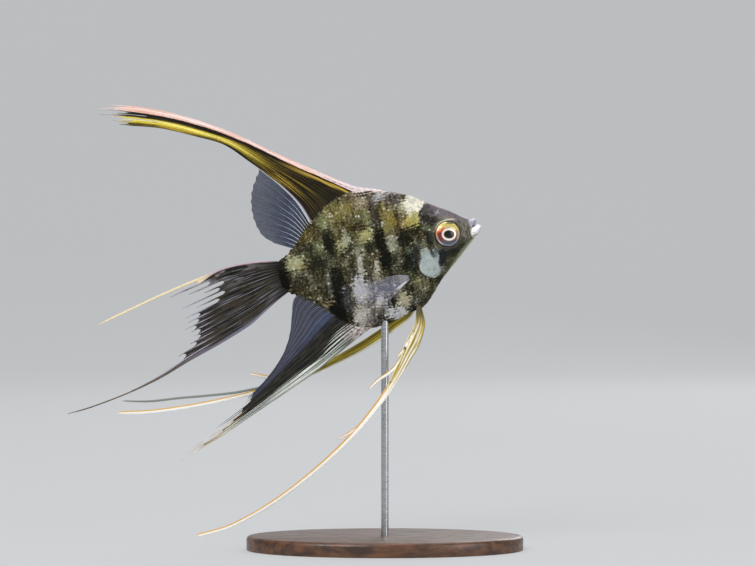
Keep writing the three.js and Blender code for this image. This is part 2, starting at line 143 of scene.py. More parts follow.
PELVIC_RIGHT = {
    "centre": [
        [26.4, -21.4], [26.8, -23.8], [27.6, -27.8], [30.3, -31.9], [34.9, -37.4], [40.5, -43.9],
        [47.0, -50.1], [59.7, -59.5], [75.1, -68.2], [91.6, -75.3], [107.4, -79.6], [119.8, -80.2],
    ],
    "widths": [
        [0, 1.4], [0.02, 2.3], [0.06, 3.7], [0.12, 4.8], [0.17, 3.8], [0.25, 2.4], [0.45, 1.7], [1, 1.1],
    ],
    "branches": [  # centre line, width, dullness
        ([[34.4, -34.4], [38.8, -39.6], [42.1, -41.6], [46.0, -43.0], [50.3, -45.4]], 1.1, 0),
        ([[42.0, -44.6], [46.9, -49.4], [53.4, -55.1], [59.3, -58.1], [64.8, -59.4]], 1.0, 0),
        ([[30.4, -29.6], [32.0, -31.8], [34.4, -33.9]], 1.0, 0),
        ([[32.0, -31.6], [34.6, -34.6], [37.8, -36.9]], 1.0, 0),
    ],
}
PELVIC_LEFT = {
    "centre": [
        [27.0, -20.0], [31.2, -23.9], [36.4, -26.2], [44.0, -29.1], [52.0, -31.6], [60.0, -33.6],
        [70.6, -35.9], [83.6, -37.2], [98.1, -37.4], [112.3, -36.8], [126.4, -35.3], [137.3, -33.1],
    ],
    "widths": [[0, 2.8], [0.1, 3.4], [0.22, 3.2], [0.4, 2.0], [0.6, 1.5], [1, 1.25]],
    "branches": [
        ([[66, -35.2], [76.4, -36.2], [82, -34.2], [89.3, -30.7]], 1.5, 0),
        (
            [[72, -36.6], [94.3, -36.0], [104.8, -34.7], [115.2, -33.1], [125.7, -31.7], [135.0, -29.3]],
            0.85, 1,
        ),
    ],
}


# ---------------------------------------------------------------- curves and small helpers
def ramp(x, start, end):
    t = np.clip((np.asarray(x, float) - start) / (end - start), 0, 1)
    return t * t * (3 - 2 * t)


def bump(x, middle, width):
    return np.exp(-(((np.asarray(x, float) - middle) / width) ** 2))


def through(points):
    """A smooth function through [x, value] points, with Catmull-Rom slopes."""
    xs, vs = np.array(points, float).T
    before = np.maximum(np.arange(len(xs)) - 1, 0)
    after = np.minimum(np.arange(len(xs)) + 1, len(xs) - 1)
    slopes = (vs[after] - vs[before]) / (xs[after] - xs[before])

    def value(x):
        x = np.clip(np.asarray(x, float), xs[0], xs[-1])
        i = np.clip(np.searchsorted(xs, x, side="right") - 1, 0, len(xs) - 2)
        span = xs[i + 1] - xs[i]
        t = (x - xs[i]) / span
        t2, t3 = t * t, t * t * t
        return (
            (2 * t3 - 3 * t2 + 1) * vs[i] + (t3 - 2 * t2 + t) * span * slopes[i]
            + (3 * t2 - 2 * t3) * vs[i + 1] + (t3 - t2) * span * slopes[i + 1]
        )

    return value


def line(points):
    """A smooth line through points. It takes a share of its length."""
    points = np.array(points, float)
    far = np.concatenate([[0], np.cumsum(np.linalg.norm(np.diff(points, axis=0), axis=1))])
    tracks = [through(np.column_stack([far, points[:, k]])) for k in range(points.shape[1])]
    return lambda share: np.stack([track(np.asarray(share) * far[-1]) for track in tracks], axis=-1)


back, belly = through(BACK), through(BELLY)
half_width, widest = through(HALF_WIDTH), through(WIDEST_LEVEL)


# How far a fin stands off to the fish's left at (s, h): the tail and the streamers sway a little.
def sway_median(s, h):
    return 2.6 * ramp(s, 70, 160) * np.sin((s - 70) / 28)


def sway_pectoral(s, h):
    return 5.7 + 0.26 * (s - 26) + 0.9 * ramp(s, 26, 34) - 1.1 * ramp(s, 28.8, 26.6)


def sway_pelvic_right(s, h):
    return -0.7 - 1.2 * ramp(-h, 21, 24.5) - 6.5 * ramp(-h, 20, 60)


def sway_pelvic_left(s, h):
    return 1.9 + 6 * ramp(s, 28, 62)


# The snout's place in the row frame is found from the eyes' boxes.
eye_corners = [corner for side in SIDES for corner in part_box("eye_" + side)]
TURN = Matrix.Rotation(-PITCH, 3, "Y")
SNOUT = sum(eye_corners, Vector()) / 4 - TURN @ Vector((-EYE_S, 0, EYE_H)) * MM


def posed(points):
    """Points (s, h, y) of the fish's frame in millimetres as (x, y, z) of the row frame in metres."""
    points = np.asarray(points, float)
    level = np.stack([-points[..., 0], points[..., 2], points[..., 1]], axis=-1) * MM
    return level @ np.array(TURN).T + np.array(SNOUT)


def activate(obj):
    bpy.ops.object.select_all(action="DESELECT")
    obj.select_set(True)
    bpy.context.view_layer.objects.active = obj


def newest(name):
    obj = bpy.context.object
    obj.name = name
    obj.data.name = name
    return obj


def coordinates(obj):
    co = np.zeros(len(obj.data.vertices) * 3, np.float32)
    obj.data.vertices.foreach_get("co", co)
    return co.reshape(-1, 3).astype(float)


def place_vertices(obj, points):
    obj.data.vertices.foreach_set("co", np.asarray(points, np.float32).ravel())
    obj.data.update()


def normals_of(obj):
    normals = np.zeros(len(obj.data.vertices) * 3, np.float32)
    obj.data.vertices.foreach_get("normal", normals)
    return normals.reshape(-1, 3).astype(float)


def store(obj, name, values):
    """A named value on each vertex: a number, or a vector of three."""
    values = np.asarray(values, np.float32)
    kind, field = ("FLOAT", "value") if values.ndim == 1 else ("FLOAT_VECTOR", "vector")
    obj.data.attributes.new(name, kind, "POINT").data.foreach_set(field, values.ravel())


def smooth_faces(obj):
    obj.data.polygons.foreach_set("use_smooth", np.ones(len(obj.data.polygons), bool))


def in_edit_mode(obj, *operators):
    """Runs operators on all of obj in edit mode."""
    activate(obj)
    bpy.ops.object.mode_set(mode="EDIT")
    bpy.ops.mesh.select_all(action="SELECT")
    for operator in operators:
        operator()
    bpy.ops.object.mode_set(mode="OBJECT")


def select_only(obj, kind, chosen):
    """Enters edit mode with only the chosen edges or faces of obj selected."""
    activate(obj)
    bpy.ops.object.mode_set(mode="EDIT")
    bpy.ops.mesh.select_mode(type=kind)
    bpy.ops.mesh.select_all(action="DESELECT")
    bpy.ops.object.mode_set(mode="OBJECT")
    (obj.data.polygons if kind == "FACE" else obj.data.edges).foreach_set("select", chosen)
    bpy.ops.object.mode_set(mode="EDIT")


def outward():
    bpy.ops.mesh.normals_make_consistent(inside=False)


def apply_modifier(obj, kind, **settings):
    activate(obj)
    bpy.ops.object.modifier_add(type=kind)
    modifier = obj.modifiers[-1]
    for key, value in settings.items():
        setattr(modifier, key, value)
    bpy.ops.object.modifier_apply(modifier=modifier.name)


def finish_piece(obj, material, slot, *nodes):
    obj.data.materials.clear()
    obj.data.materials.append(material)
    smooth_faces(obj)
    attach(obj, "root")
    if nodes:
        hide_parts(*nodes)


def ball_grid(name, around, rings):
    """A ball about +Z, and its vertex numbers as a table [ring from the pole, place round it]."""
    bpy.ops.mesh.primitive_uv_sphere_add(segments=around, ring_count=rings, radius=1)
    ball = newest(name)
    co = coordinates(ball)
    ring = np.rint(np.arccos(np.clip(co[:, 2], -1, 1)) / math.pi * rings).astype(int)
    place = np.rint(np.arctan2(co[:, 1], co[:, 0]) / (2 * math.pi) * around).astype(int) % around
    table = np.zeros((rings + 1, around), int)
    table[ring, place] = np.arange(len(co))
    for pole in (0, rings):
        table[pole] = np.flatnonzero(ring == pole)[0]
    return ball, table


def sheet_grid(name, columns, rows):
    """A flat grid, and its vertex numbers as a table [row, column]."""
    bpy.ops.mesh.primitive_grid_add(x_subdivisions=columns - 1, y_subdivisions=rows - 1, size=2)
    sheet = newest(name)
    co = coordinates(sheet)
    column = np.rint((co[:, 0] + 1) / 2 * (columns - 1)).astype(int)
    row = np.rint((co[:, 1] + 1) / 2 * (rows - 1)).astype(int)
    table = np.zeros((rows, columns), int)
    table[row, column] = np.arange(len(co))
    return sheet, table


def spread(table, values):
    """Values laid out as the table, in the order of the vertices."""
    flat = np.zeros((table.max() + 1,) + values.shape[2:])
    flat[table] = values
    return flat


# ---------------------------------------------------------------- shader helpers
def colour(code):
    """A hex colour as linear red, green, blue, alpha."""
    parts = [int(code[i:i + 2], 16) / 255 for i in (1, 3, 5)]
    return [c / 12.92 if c <= 0.04045 else ((c + 0.055) / 1.055) ** 2.4 for c in parts] + [1]


class Nodes:
    """Short calls for the nodes of one material or group."""

    def __init__(self, tree):
        self.tree = tree

    def feed(self, socket, value):
        if isinstance(value, bpy.types.NodeSocket):
            self.tree.links.new(value, socket)
        else:
            socket.default_value = colour(value) if isinstance(value, str) else value

    def add(self, kind, inputs=(), **settings):
        node = self.tree.nodes.new(kind)
        for key, value in settings.items():
            setattr(node, key, value)
        for key, value in dict(inputs).items():
            self.feed(node.inputs[key], value)
        return node

    def math(self, operation, a, b=0.0):
        return self.add("ShaderNodeMath", {0: a, 1: b}, operation=operation).outputs[0]

    def chain(self, operation, values):
        result = values[0]
        for value in values[1:]:
            result = self.math(operation, result, value)
        return result

    def product(self, *values):
        return self.chain("MULTIPLY", values)

    def total(self, *values):
        return self.chain("ADD", values)

    def most(self, *values):
        return self.chain("MAXIMUM", values)

    def absolute(self, value):
        return self.math("ABSOLUTE", value)

    def vector(self, operation, a, b=(0, 0, 0)):
        node = self.add("ShaderNodeVectorMath", {0: a, 1: b}, operation=operation)
        return node.outputs["Value" if operation in ("LENGTH", "DISTANCE") else "Vector"]

    def scaled(self, vector, factor):
        node = self.add("ShaderNodeVectorMath", {0: vector, "Scale": factor}, operation="SCALE")
        return node.outputs[0]

    def step(self, value, start, end, low=0.0, high=1.0):
        """A soft step of value from low at start to high at end."""
        limits = {"Value": value, "From Min": start, "From Max": end, "To Min": low, "To Max": high}
        return self.add("ShaderNodeMapRange", limits, interpolation_type="SMOOTHSTEP").outputs["Result"]

    def band(self, value, start, end, soft):
        """1 from start to end, and 0 beyond them, with soft edges."""
        rising = self.step(value, start - soft, start + soft)
        return self.product(rising, self.step(value, end + soft, end - soft))

    def mix(self, factor, a, b):
        node = self.add("ShaderNodeMix", data_type="RGBA", clamp_factor=True)
        for socket, value in ((0, factor), (6, a), (7, b)):
            self.feed(node.inputs[socket], value)
        return node.outputs[2]

    def tint(self, tone, code, *factors):
        """tone, turned towards a colour by the product of factors."""
        return self.mix(self.product(*factors), tone, code)

    def luminance(self, tone):
        return self.add("ShaderNodeRGBToBW", {0: tone}).outputs[0]

    def noise(self, vector, scale, detail=2.0, roughness=0.5):
        inputs = {"Vector": vector, "Scale": scale, "Detail": detail, "Roughness": roughness}
        return self.add("ShaderNodeTexNoise", inputs).outputs["Fac"]

    def lengthwise(self, ray, t, across, along, layer, detail, roughness):
        """Noise drawn out along the rays of a fin, this fine across them and along them."""
        place = self.join(self.product(ray, across), self.product(t, along), layer)
        return self.noise(place, 1.0, detail, roughness)

    def drift(self, vector, scale, detail, amount):
        """A noise vector about zero, this strong."""
        noise = self.add("ShaderNodeTexNoise", {"Vector": vector, "Scale": scale, "Detail": detail})
        return self.scaled(self.vector("SUBTRACT", noise.outputs["Color"], (0.5, 0.5, 0.5)), amount)

    def attribute(self, name, output="Vector"):
        return self.add("ShaderNodeAttribute", attribute_name=name).outputs[output]

    def split(self, vector):
        return self.add("ShaderNodeSeparateXYZ", {0: vector}).outputs

    def join(self, x, y, z):
        return self.add("ShaderNodeCombineXYZ", {0: x, 1: y, 2: z}).outputs[0]

    def bump(self, height, strength, distance):
        inputs = {"Height": height, "Strength": strength, "Distance": distance}
        return self.add("ShaderNodeBump", inputs).outputs[0]


def new_material(name, **sockets):
    """A material of one Principled shader with these constant sockets, its Nodes and its sockets."""
    material = bpy.data.materials.new(name)
    material.use_nodes = True
    shader = material.node_tree.nodes["Principled BSDF"]
    for key, value in sockets.items():
        shader.inputs[key.replace("_", " ")].default_value = value
    return material, Nodes(material.node_tree), shader.inputs


# ---------------------------------------------------------------- markings
PEARL_REACH = 4.1  # the smooth pearly patch on the gill cover
FLANKS_APART = 40  # the two flanks read noise this far apart, so that their marbling differs
LEFT_SHIFT = 2.4  # and the left flank's blots lie this much nearer the snout

# Each marking is a soft blot: s and h of its middle, its reach along and across, its tilt in degrees,
# how soft its edge is, how fully it covers, and its colour. Later ones lie over earlier ones.
MARKINGS = {
    # the back and the rear of the flank
    "back_olive": (43, 13, 10, 6, 0, 0.6, 0.9, "#5F562F"),
    "back_specked": (44.5, 17.2, 7, 2.8, 0, 0.7, 0.9, "#8F8345"),
    "back_brown": (39.5, 20.6, 7, 1.8, 16, 0.6, 0.9, "#6B5A3C"),
    "rear_shoulder": (56.5, 12.2, 4.6, 3.2, -42, 0.6, 0.95, "#4A3D16"),
    "rear_edge_brown": (61.2, 9, 2.6, 3.0, -40, 0.6, 0.95, "#3E3414"),
    "rear_gold_edge": (58.7, 11.0, 1.5, 2.8, -30, 0.7, 0.9, "#62550F"),
    "rear_green_specks": (51.7, 14.2, 1.9, 2.6, -25, 0.6, 0.9, "#868C5A"),
    "rear_grey_green": (54.4, 6.2, 2.6, 2.6, -10, 0.6, 0.95, "#767D58"),
    "rear_flank_dark": (58.8, 5.4, 2.2, 2.8, -10, 0.6, 0.9, "#33331A"),
    "rear_olive_dark": (61.4, 6.0, 3.2, 2.0, -14, 0.6, 0.9, "#3B3827"),
    "rear_middle": (54, 0.4, 4.0, 3.4, 0, 0.6, 0.85, "#3C3F30"),
    "rear_middle_light": (52.3, -1.0, 1.3, 1.1, 0, 0.7, 0.7, "#7B7B62"),
    "rear_spot": (51.6, 7.2, 1.8, 3.8, 2, 0.4, 1.0, "#171810"),
    "rear_dark": (58, -0.6, 2.6, 3.4, 0, 0.6, 0.9, "#232318"),
    "rear_brown": (59.4, -8.0, 3.0, 5.0, 14, 0.6, 0.9, "#443E28"),
    "rear_light": (60.2, -4.8, 0.9, 2.5, 5, 0.7, 0.8, "#77735E"),
    # the joint of the tail
    "stalk_dark": (65.4, -3.8, 3.8, 1.9, 10, 0.6, 0.9, "#2F2B20"),
    "stalk_cream": (65, 2.9, 3.7, 2.6, -8, 0.45, 1.0, "#B0B38A"),
    "stalk_gold": (62.9, 1.4, 1.8, 1.0, 0, 0.7, 0.85, "#B0A273"),
    "stalk_edge": (67.2, 5.1, 1.7, 0.8, -14, 0.6, 0.85, "#BDB98C"),
    "stalk_low_light": (64.6, -1.2, 3.0, 0.8, 0, 0.7, 0.75, "#6E6B58"),
    "tail_black": (70.9, -1, 3.5, 7.4, 4, 0.35, 1.0, "#070807"),
    # the middle of the flank, from the back down
    "cape_plum": (27, 16.2, 3.4, 2.9, 25, 0.5, 0.95, "#665A62"),
    "cape_brown": (34.8, 17.4, 2.8, 2.9, 10, 0.6, 0.9, "#6E5E55"),
    "cape_specks": (37.6, 18.2, 2.2, 1.9, 0, 0.7, 0.9, "#B7AA8E"),
    "cape_low": (27.8, 14.0, 2.4, 1.9, 30, 0.6, 0.9, "#54473E"),
    "cape_silver": (31.0, 18.2, 2.2, 1.5, -12, 0.7, 0.9, "#BBBABD"),
    "shoulder_gold": (29.8, 10.2, 2.8, 4.7, 0, 0.6, 0.95, "#958344"),
    "shoulder_brown": (25.2, 8.4, 2.7, 3.4, 8, 0.6, 0.9, "#644F24"),
    "shoulder_green": (30.6, 7.6, 2.2, 1.3, 0, 0.7, 0.8, "#8D8648"),
    "shoulder_bright": (28.6, 9.2, 0.9, 1.8, 0, 0.8, 0.8, "#A08A3E"),
    "upper_bar": (34, 12, 2.0, 4.0, 0, 0.45, 0.95, "#423A30"),
    "upper_bar_blue": (34.4, 9.8, 1.9, 1.2, 0, 0.6, 0.8, "#3E3D3F"),
    "pale_streak": (36.7, 11.2, 0.9, 3.8, 3, 0.6, 0.9, "#8E9062"),
    "back_shade": (40.6, 9.5, 3.3, 1.4, 0, 0.6, 1.0, "#3C3216"),
    "back_fleck": (39.2, 13.0, 0.5, 1.1, 15, 0.7, 0.8, "#9BA27C"),
    "flank_yellow": (38.6, 6.3, 3.1, 2.1, 0, 0.5, 1.0, "#B5B277"),
    "flank_olive": (43.0, 7.0, 1.6, 1.9, 0, 0.6, 0.85, "#62603A"),
    "flank_cream": (46.6, 5.4, 2.1, 1.7, 0, 0.5, 1.0, "#B3B386"),
    "flank_pearl": (45.3, 6.8, 1.1, 2.8, 0, 0.6, 0.9, "#A9AD95"),
    "flank_gold": (47.8, 8.5, 2.3, 0.9, 0, 0.6, 0.9, "#5C5121"),
    "middle_bar": (34.1, 3.0, 2.0, 4.2, 0, 0.35, 1.0, "#0F1009"),
    "middle_dark": (38.0, 2.4, 1.5, 1.8, 0, 0.5, 0.95, "#272B1D"),
    "shoulder_light": (30.3, 1.1, 1.7, 3.4, 0, 0.6, 0.95, "#ABAB95"),
    "shoulder_dark": (26, 1.8, 2.5, 3.2, 0, 0.45, 1.0, "#191C12"),
    "column_light": (41.6, 1.8, 1.7, 2.4, 0, 0.6, 0.9, "#8F9077"),
    "column_dark": (46.0, 1.6, 2.4, 1.8, 0, 0.6, 0.9, "#373525"),
    "column_specks": (47.4, -1.2, 1.5, 1.1, 0, 0.7, 0.85, "#8D8566"),
    "column_brown": (46.2, -4.4, 1.8, 2.6, 0, 0.6, 0.9, "#423B2B"),
    "flank_brown": (40.4, -5.8, 1.4, 3.8, 0, 0.6, 0.9, "#554D3E"),
    "column_white": (42.8, -3.8, 0.8, 4.4, 2, 0.6, 0.95, "#BBB8AD"),
    "blush": (37.1, -4.4, 1.1, 2.1, 14, 0.4, 1.0, "#C6BEA8"),
    "blush_low": (38.0, -8.2, 1.2, 1.2, 0, 0.6, 0.85, "#B5AD96"),
    "middle_blot": (33.7, -4.0, 2.4, 3.6, 0, 0.35, 1.0, "#0C110D"),
    "middle_blot_low": (33.4, -9.2, 1.3, 1.7, 0, 0.6, 0.95, "#252722"),
    "grey_streaks": (30, -6.0, 1.7, 4.0, 2, 0.6, 0.9, "#414337"),
    "gill_shade": (25.8, -6.8, 2.3, 5.4, 6, 0.5, 1.0, "#191D17"),
    "gill_shade_green": (25.6, -2.4, 0.7, 2.0, -20, 0.7, 0.8, "#6A7A5D"),
    "rear_bar": (51.6, -5.4, 2.3, 3.6, 0, 0.4, 1.0, "#151712"),
    "rear_bar_middle": (53.0, -11.6, 3.4, 5.0, 0, 0.5, 1.0, "#161817"),
    "rear_bar_low": (53.8, -17.6, 3.8, 6.2, 8, 0.35, 1.0, "#080C09"),
    "bar_break": (55.0, -6.8, 1.0, 3.8, 4, 0.6, 0.9, "#5E605D"),
    "orange_fleck": (56.3, -13.0, 1.8, 0.5, -14, 0.6, 0.85, "#9C845C"),
    # the belly
    "belly_lavender": (35.4, -13.6, 4.4, 2.8, 5, 0.5, 0.95, "#626684"),
    "belly_grey": (41.2, -12.6, 1.8, 3.4, 0, 0.6, 0.95, "#7B7982"),
    "belly_mottled": (40.4, -19.4, 3.6, 2.6, 0, 0.6, 0.9, "#6F6868"),
    "belly_cream": (38.8, -17.0, 2.1, 2.0, 0, 0.6, 0.95, "#D3CECF"),
    "belly_plum": (41.2, -22.6, 2.6, 2.0, 12, 0.6, 0.9, "#4A4346"),
    "belly_white": (44.8, -11.8, 2.6, 5.2, 8, 0.45, 1.0, "#C9C7CD"),
    "belly_white_back": (46.4, -20.2, 2.5, 4.2, 14, 0.5, 1.0, "#CBC7BE"),
    "belly_white_middle": (43.6, -16.6, 1.8, 2.4, 0, 0.7, 0.85, "#A19C9E"),
    "belly_pink": (44.6, -22.8, 1.9, 1.8, 0, 0.7, 0.8, "#A3969A"),
    "belly_slate": (49.6, -14.2, 1.9, 3.0, 0, 0.6, 0.9, "#3E3E47"),
    "belly_blue_rear": (49.3, -10.2, 1.5, 0.6, 0, 0.7, 0.8, "#505A7C"),
    "belly_blue": (37.2, -19.4, 1.1, 1.5, 0, 0.7, 0.8, "#666A77"),
    "breast_dark": (27.4, -14.6, 2.1, 2.4, 20, 0.6, 0.95, "#2E2C22"),
    "breast_cream": (31.0, -18.4, 2.2, 2.7, 10, 0.6, 1.0, "#C6BF9F"),
    "vent_white": (33.6, -22.2, 4.2, 1.8, 15, 0.4, 1.0, "#DCDDE0"),
    "belly_spot": (34.8, -18.4, 0.6, 2.2, 6, 0.4, 1.0, "#12120E"),
    "breast_brown": (23.5, -18, 3.4, 1.9, 36, 0.6, 0.9, "#4B493B"),
    "breast_olive": (23.5, -14.6, 2.9, 2.1, 32, 0.6, 0.9, "#857F60"),
    "breast_gold": (24.9, -13.0, 1.2, 0.9, 0, 0.7, 0.8, "#968B60"),
    "breast_green": (26.4, -10.6, 1.0, 2.3, 0, 0.6, 0.85, "#41482F"),
    "breast_grey": (27, -20.0, 1.5, 1.2, 0, 0.6, 0.85, "#67666C"),
    "fin_root": (28.2, -22.6, 1.7, 1.3, 20, 0.6, 0.9, "#191B17"),
    # the head
    "temple_dark": (21.4, 3.8, 2.8, 1.7, 6, 0.5, 0.95, "#282616"),
    "temple_fleck": (19.4, 2.4, 0.6, 0.6, 0, 0.8, 0.8, "#80602E"),
    "forehead_rear": (15.2, 9.6, 4.2, 3.8, 37, 0.5, 1.0, "#484246"),
    "brow_shade": (16.2, 6.2, 3.0, 2.6, 0, 0.6, 0.95, "#312C2C"),
    "forehead_front": (7.4, 6.3, 7.0, 2.4, 37, 0.5, 1.0, "#6B636A"),
    "brow_brown": (10.4, 5.9, 2.4, 0.9, 25, 0.6, 0.8, "#7A7069"),
    "snout_grey": (4.4, 2.8, 2.3, 1.5, 30, 0.6, 0.9, "#6C6868"),
    "snout_olive": (5.2, -0.6, 1.9, 3.2, 0, 0.6, 0.95, "#5C5849"),
    "cheek_olive": (8.6, -5.2, 4.2, 2.0, -32, 0.5, 0.95, "#3A3929"),
    "under_eye": (11.6, -6.0, 2.6, 1.6, -10, 0.6, 0.9, "#272924"),
    "chin": (8.4, -8.0, 7.0, 0.7, -40, 0.5, 0.7, "#8A9478"),
    "eye_black": (17.3, 0.6, 1.3, 3.2, 0, 0.45, 0.95, "#262A20"),
    "temple_specks": (17.7, 4.0, 2.1, 0.9, 8, 0.7, 0.85, "#6B7258"),
    "nape_specks": (24.0, 12.0, 1.4, 2.6, -18, 0.6, 0.9, "#B2B088"),
    "nape_gold": (23.0, 7.2, 2.2, 1.7, 0, 0.7, 0.9, "#C4AF52"),
    "nape_low": (20.7, 9.0, 1.8, 3.2, 6, 0.5, 1.0, "#BDB468"),
    "nape_cream": (20.4, 13.4, 3.0, 3.3, 12, 0.35, 1.0, "#FDF9E6"),
    "nape_front": (17.9, 13.4, 2.2, 0.9, 35, 0.5, 1.0, "#F2ECD8"),
    "gill_rim_dark": (23.6, -4.4, 1.4, 3.8, 12, 0.5, 0.95, "#2F3433"),
    "gill_green": (20.6, -1.4, 1.4, 1.2, 0, 0.7, 0.7, "#6E7C68"),
    "gill_pearl_top": (20.0, -5.0, 1.7, 2.3, 0, 0.3, 1.0, "#A8B4AE"),
    "gill_pearl": (18.9, -9.0, PEARL_REACH, PEARL_REACH * 0.94, 0, 0.1, 1.0, "#B7C1C0"),
    "gill_front": (15.3, -11.3, 1.4, 0.5, -40, 0.5, 0.75, "#76826C"),
    "cheek_black": (14.6, -7.4, 1.2, 3.3, 24, 0.35, 1.0, "#20272B"),
    # A painted bluish sheen over the black of the cheek.
    "cheek_blue_sheen": (16.9, -5.0, 1.1, 2.0, 28, 0.6, 0.9, "#6E7B80"),
    "forehead_streak": (12.6, 8.6, 1.3, 0.3, -24, 0.8, 0.55, "#B5ADBA"),
    "forehead_fleck": (14.6, 7.6, 0.9, 0.25, -24, 0.8, 0.5, "#8F868E"),
}
GROUND = "#49432B"
STEADY = {"gill_pearl_top", "gill_pearl", "cheek_black"}  # these have smooth edges
PEARL_MIDDLE = MARKINGS["gill_pearl"][:2]


def blots(nodes, s, h, flank, flat):
    """The marks of MARKINGS over the ground colour, with wandering, ragged edges."""
    left_shift = nodes.step(flank, -0.2, 0.2, 0, LEFT_SHIFT)
    wander = nodes.vector("ADD", nodes.drift(flat, 0.3, 1.0, 1.6), nodes.drift(flat, 1.0, 1.5, 2.2))
    warped = nodes.vector("ADD", nodes.join(nodes.total(s, left_shift), h, 0), wander)
    warped = nodes.vector("MULTIPLY", warped, (1, 1, 0))
    ragged = nodes.step(nodes.noise(flat, 0.6, 2.0, 0.5), 0.3, 0.7, -0.2, 0.2)
    ragged = nodes.product(ragged, nodes.step(s, 14, 30, 0.35, 1.0))
    tone = GROUND
    for name, (middle_s, middle_h, along, across, tilt, softness, cover, code) in MARKINGS.items():
        blot = nodes.add(
            "ShaderNodeMapping",
            {
                "Vector": nodes.join(s, h, 0) if name in STEADY else warped,
                "Location": (middle_s, middle_h, 0),
                "Rotation": (0, 0, math.radians(tilt)),
                "Scale": (2 * along, 2 * across, 2),
            },
            vector_type="TEXTURE",
        ).outputs[0]
        # 1 in the middle of the blot, a half at its reach and 0 at twice that.
        fall = nodes.add("ShaderNodeTexGradient", {"Vector": blot}, gradient_type="SPHERICAL")
        depth = fall.outputs["Fac"]
        if name not in STEADY:
            depth = nodes.total(depth, ragged)
        edge = nodes.step(depth, 0.46 - softness * 0.32, 0.5 + softness * 0.3, 0, cover)
        tone = nodes.tint(tone, code, edge)
    return tone


def pearl_rimmed(nodes, tone, s, h):
    """Draws the pearly patch's fine bright rim, behind and below."""
    from_pearl = nodes.vector("DISTANCE", nodes.join(s, h, 0), (*PEARL_MIDDLE, 0))
    pearl_rim = nodes.band(from_pearl, PEARL_REACH - 0.35, PEARL_REACH - 0.05, 0.15)
    low_behind = nodes.product(nodes.step(h, -6.5, -9.5), nodes.step(s, 16, 17.5))
    return nodes.tint(tone, "#D8E6E8", pearl_rim, low_behind, 0.75)


def mottled(nodes, tone, s, flat):
    """Adds upright streaks, soft specks and fine pigment. Pale patches and black bars stay calm."""
    light = nodes.luminance(tone)
    wild = nodes.product(nodes.step(light, 0.5, 0.2, 0.4, 1.0), nodes.step(s, 12, 19, 0.25, 1.0))
    olive = nodes.product(wild, nodes.step(light, 0.012, 0.06, 0.04, 1.0))
    streaks = nodes.noise(nodes.vector("MULTIPLY", flat, (1.0, 0.5, 1)), 0.65, 2.0, 0.55)
    specks = nodes.noise(flat, 1.15, 1.5, 0.5)
    tone = nodes.tint(tone, "#14140E", nodes.step(streaks, 0.5, 0.64), wild, 0.66)
    tone = nodes.tint(tone, "#ADA882", nodes.step(streaks, 0.46, 0.32), olive, 0.36)
    tone = nodes.tint(tone, "#BDB88F", nodes.step(specks, 0.53, 0.7), olive, 0.36)
    tone = nodes.tint(tone, "#1C1A12", nodes.step(specks, 0.47, 0.3), wild, 0.45)
    # The fine dark pigment is everywhere, least over the pale patches and the face.
    least = nodes.step(light, 0.25, 0.45, 0.02, 0.1)
    most = nodes.step(light, 0.25, 0.45, 0.5, 0.2)
    pigment = nodes.step(nodes.noise(flat, 1.9, 2.0, 0.6), 0.36, 0.62, least, most)
    return nodes.tint(tone, "#0F0F0B", pigment, nodes.step(s, 12, 19, 0.6, 1.0))


def rim_lit_and_throat_lined(nodes, tone, s, h, y):
    """Draws a pale line along the throat, and painted rim light along the back, which is brightest ahead
    of the dorsal fin.
    """
    aside = nodes.absolute(y)
    # Painted rim light along the ridge of the back.
    ridge = nodes.product(nodes.step(aside, 0.8, 0.35), nodes.step(h, 2, 4), nodes.step(s, 43, 38))
    tone = nodes.tint(tone, "#B7A6AE", ridge, 0.5)
    tone = nodes.tint(tone, "#F0E4DC", ridge, nodes.band(s, 27, 39, 1.5), 0.8)
    throat = nodes.product(nodes.step(aside, 1.3, 0.6), nodes.step(h, -2.5, -4), nodes.step(s, 15.5, 12))
    return nodes.tint(tone, "#BDC2A0", throat, 0.85)


def marbling_group():
    """The markings of the fish as a node group: from a place (s, h, y) in millimetres to a colour."""
    group = bpy.data.node_groups.new("marbling", "ShaderNodeTree")
    group.interface.new_socket("Place", in_out="INPUT", socket_type="NodeSocketVector")
    group.interface.new_socket("Color", in_out="OUTPUT", socket_type="NodeSocketColor")
    nodes = Nodes(group)
    s, h, y = nodes.split(nodes.add("NodeGroupInput").outputs[0])
    flank = nodes.math("SIGN", y)
    flat = nodes.join(s, h, nodes.product(flank, FLANKS_APART))
    tone = blots(nodes, s, h, flank, flat)
    tone = pearl_rimmed(nodes, tone, s, h)
    tone = mottled(nodes, tone, s, flat)
    tone = rim_lit_and_throat_lined(nodes, tone, s, h, y)
    nodes.feed(nodes.add("NodeGroupOutput").inputs[0], tone)
    return group


MARBLING = marbling_group()


def marbling_at(nodes, place):
    group = nodes.add("ShaderNodeGroup", node_tree=MARBLING)
    nodes.feed(group.inputs[0], place)
    return group.outputs[0]


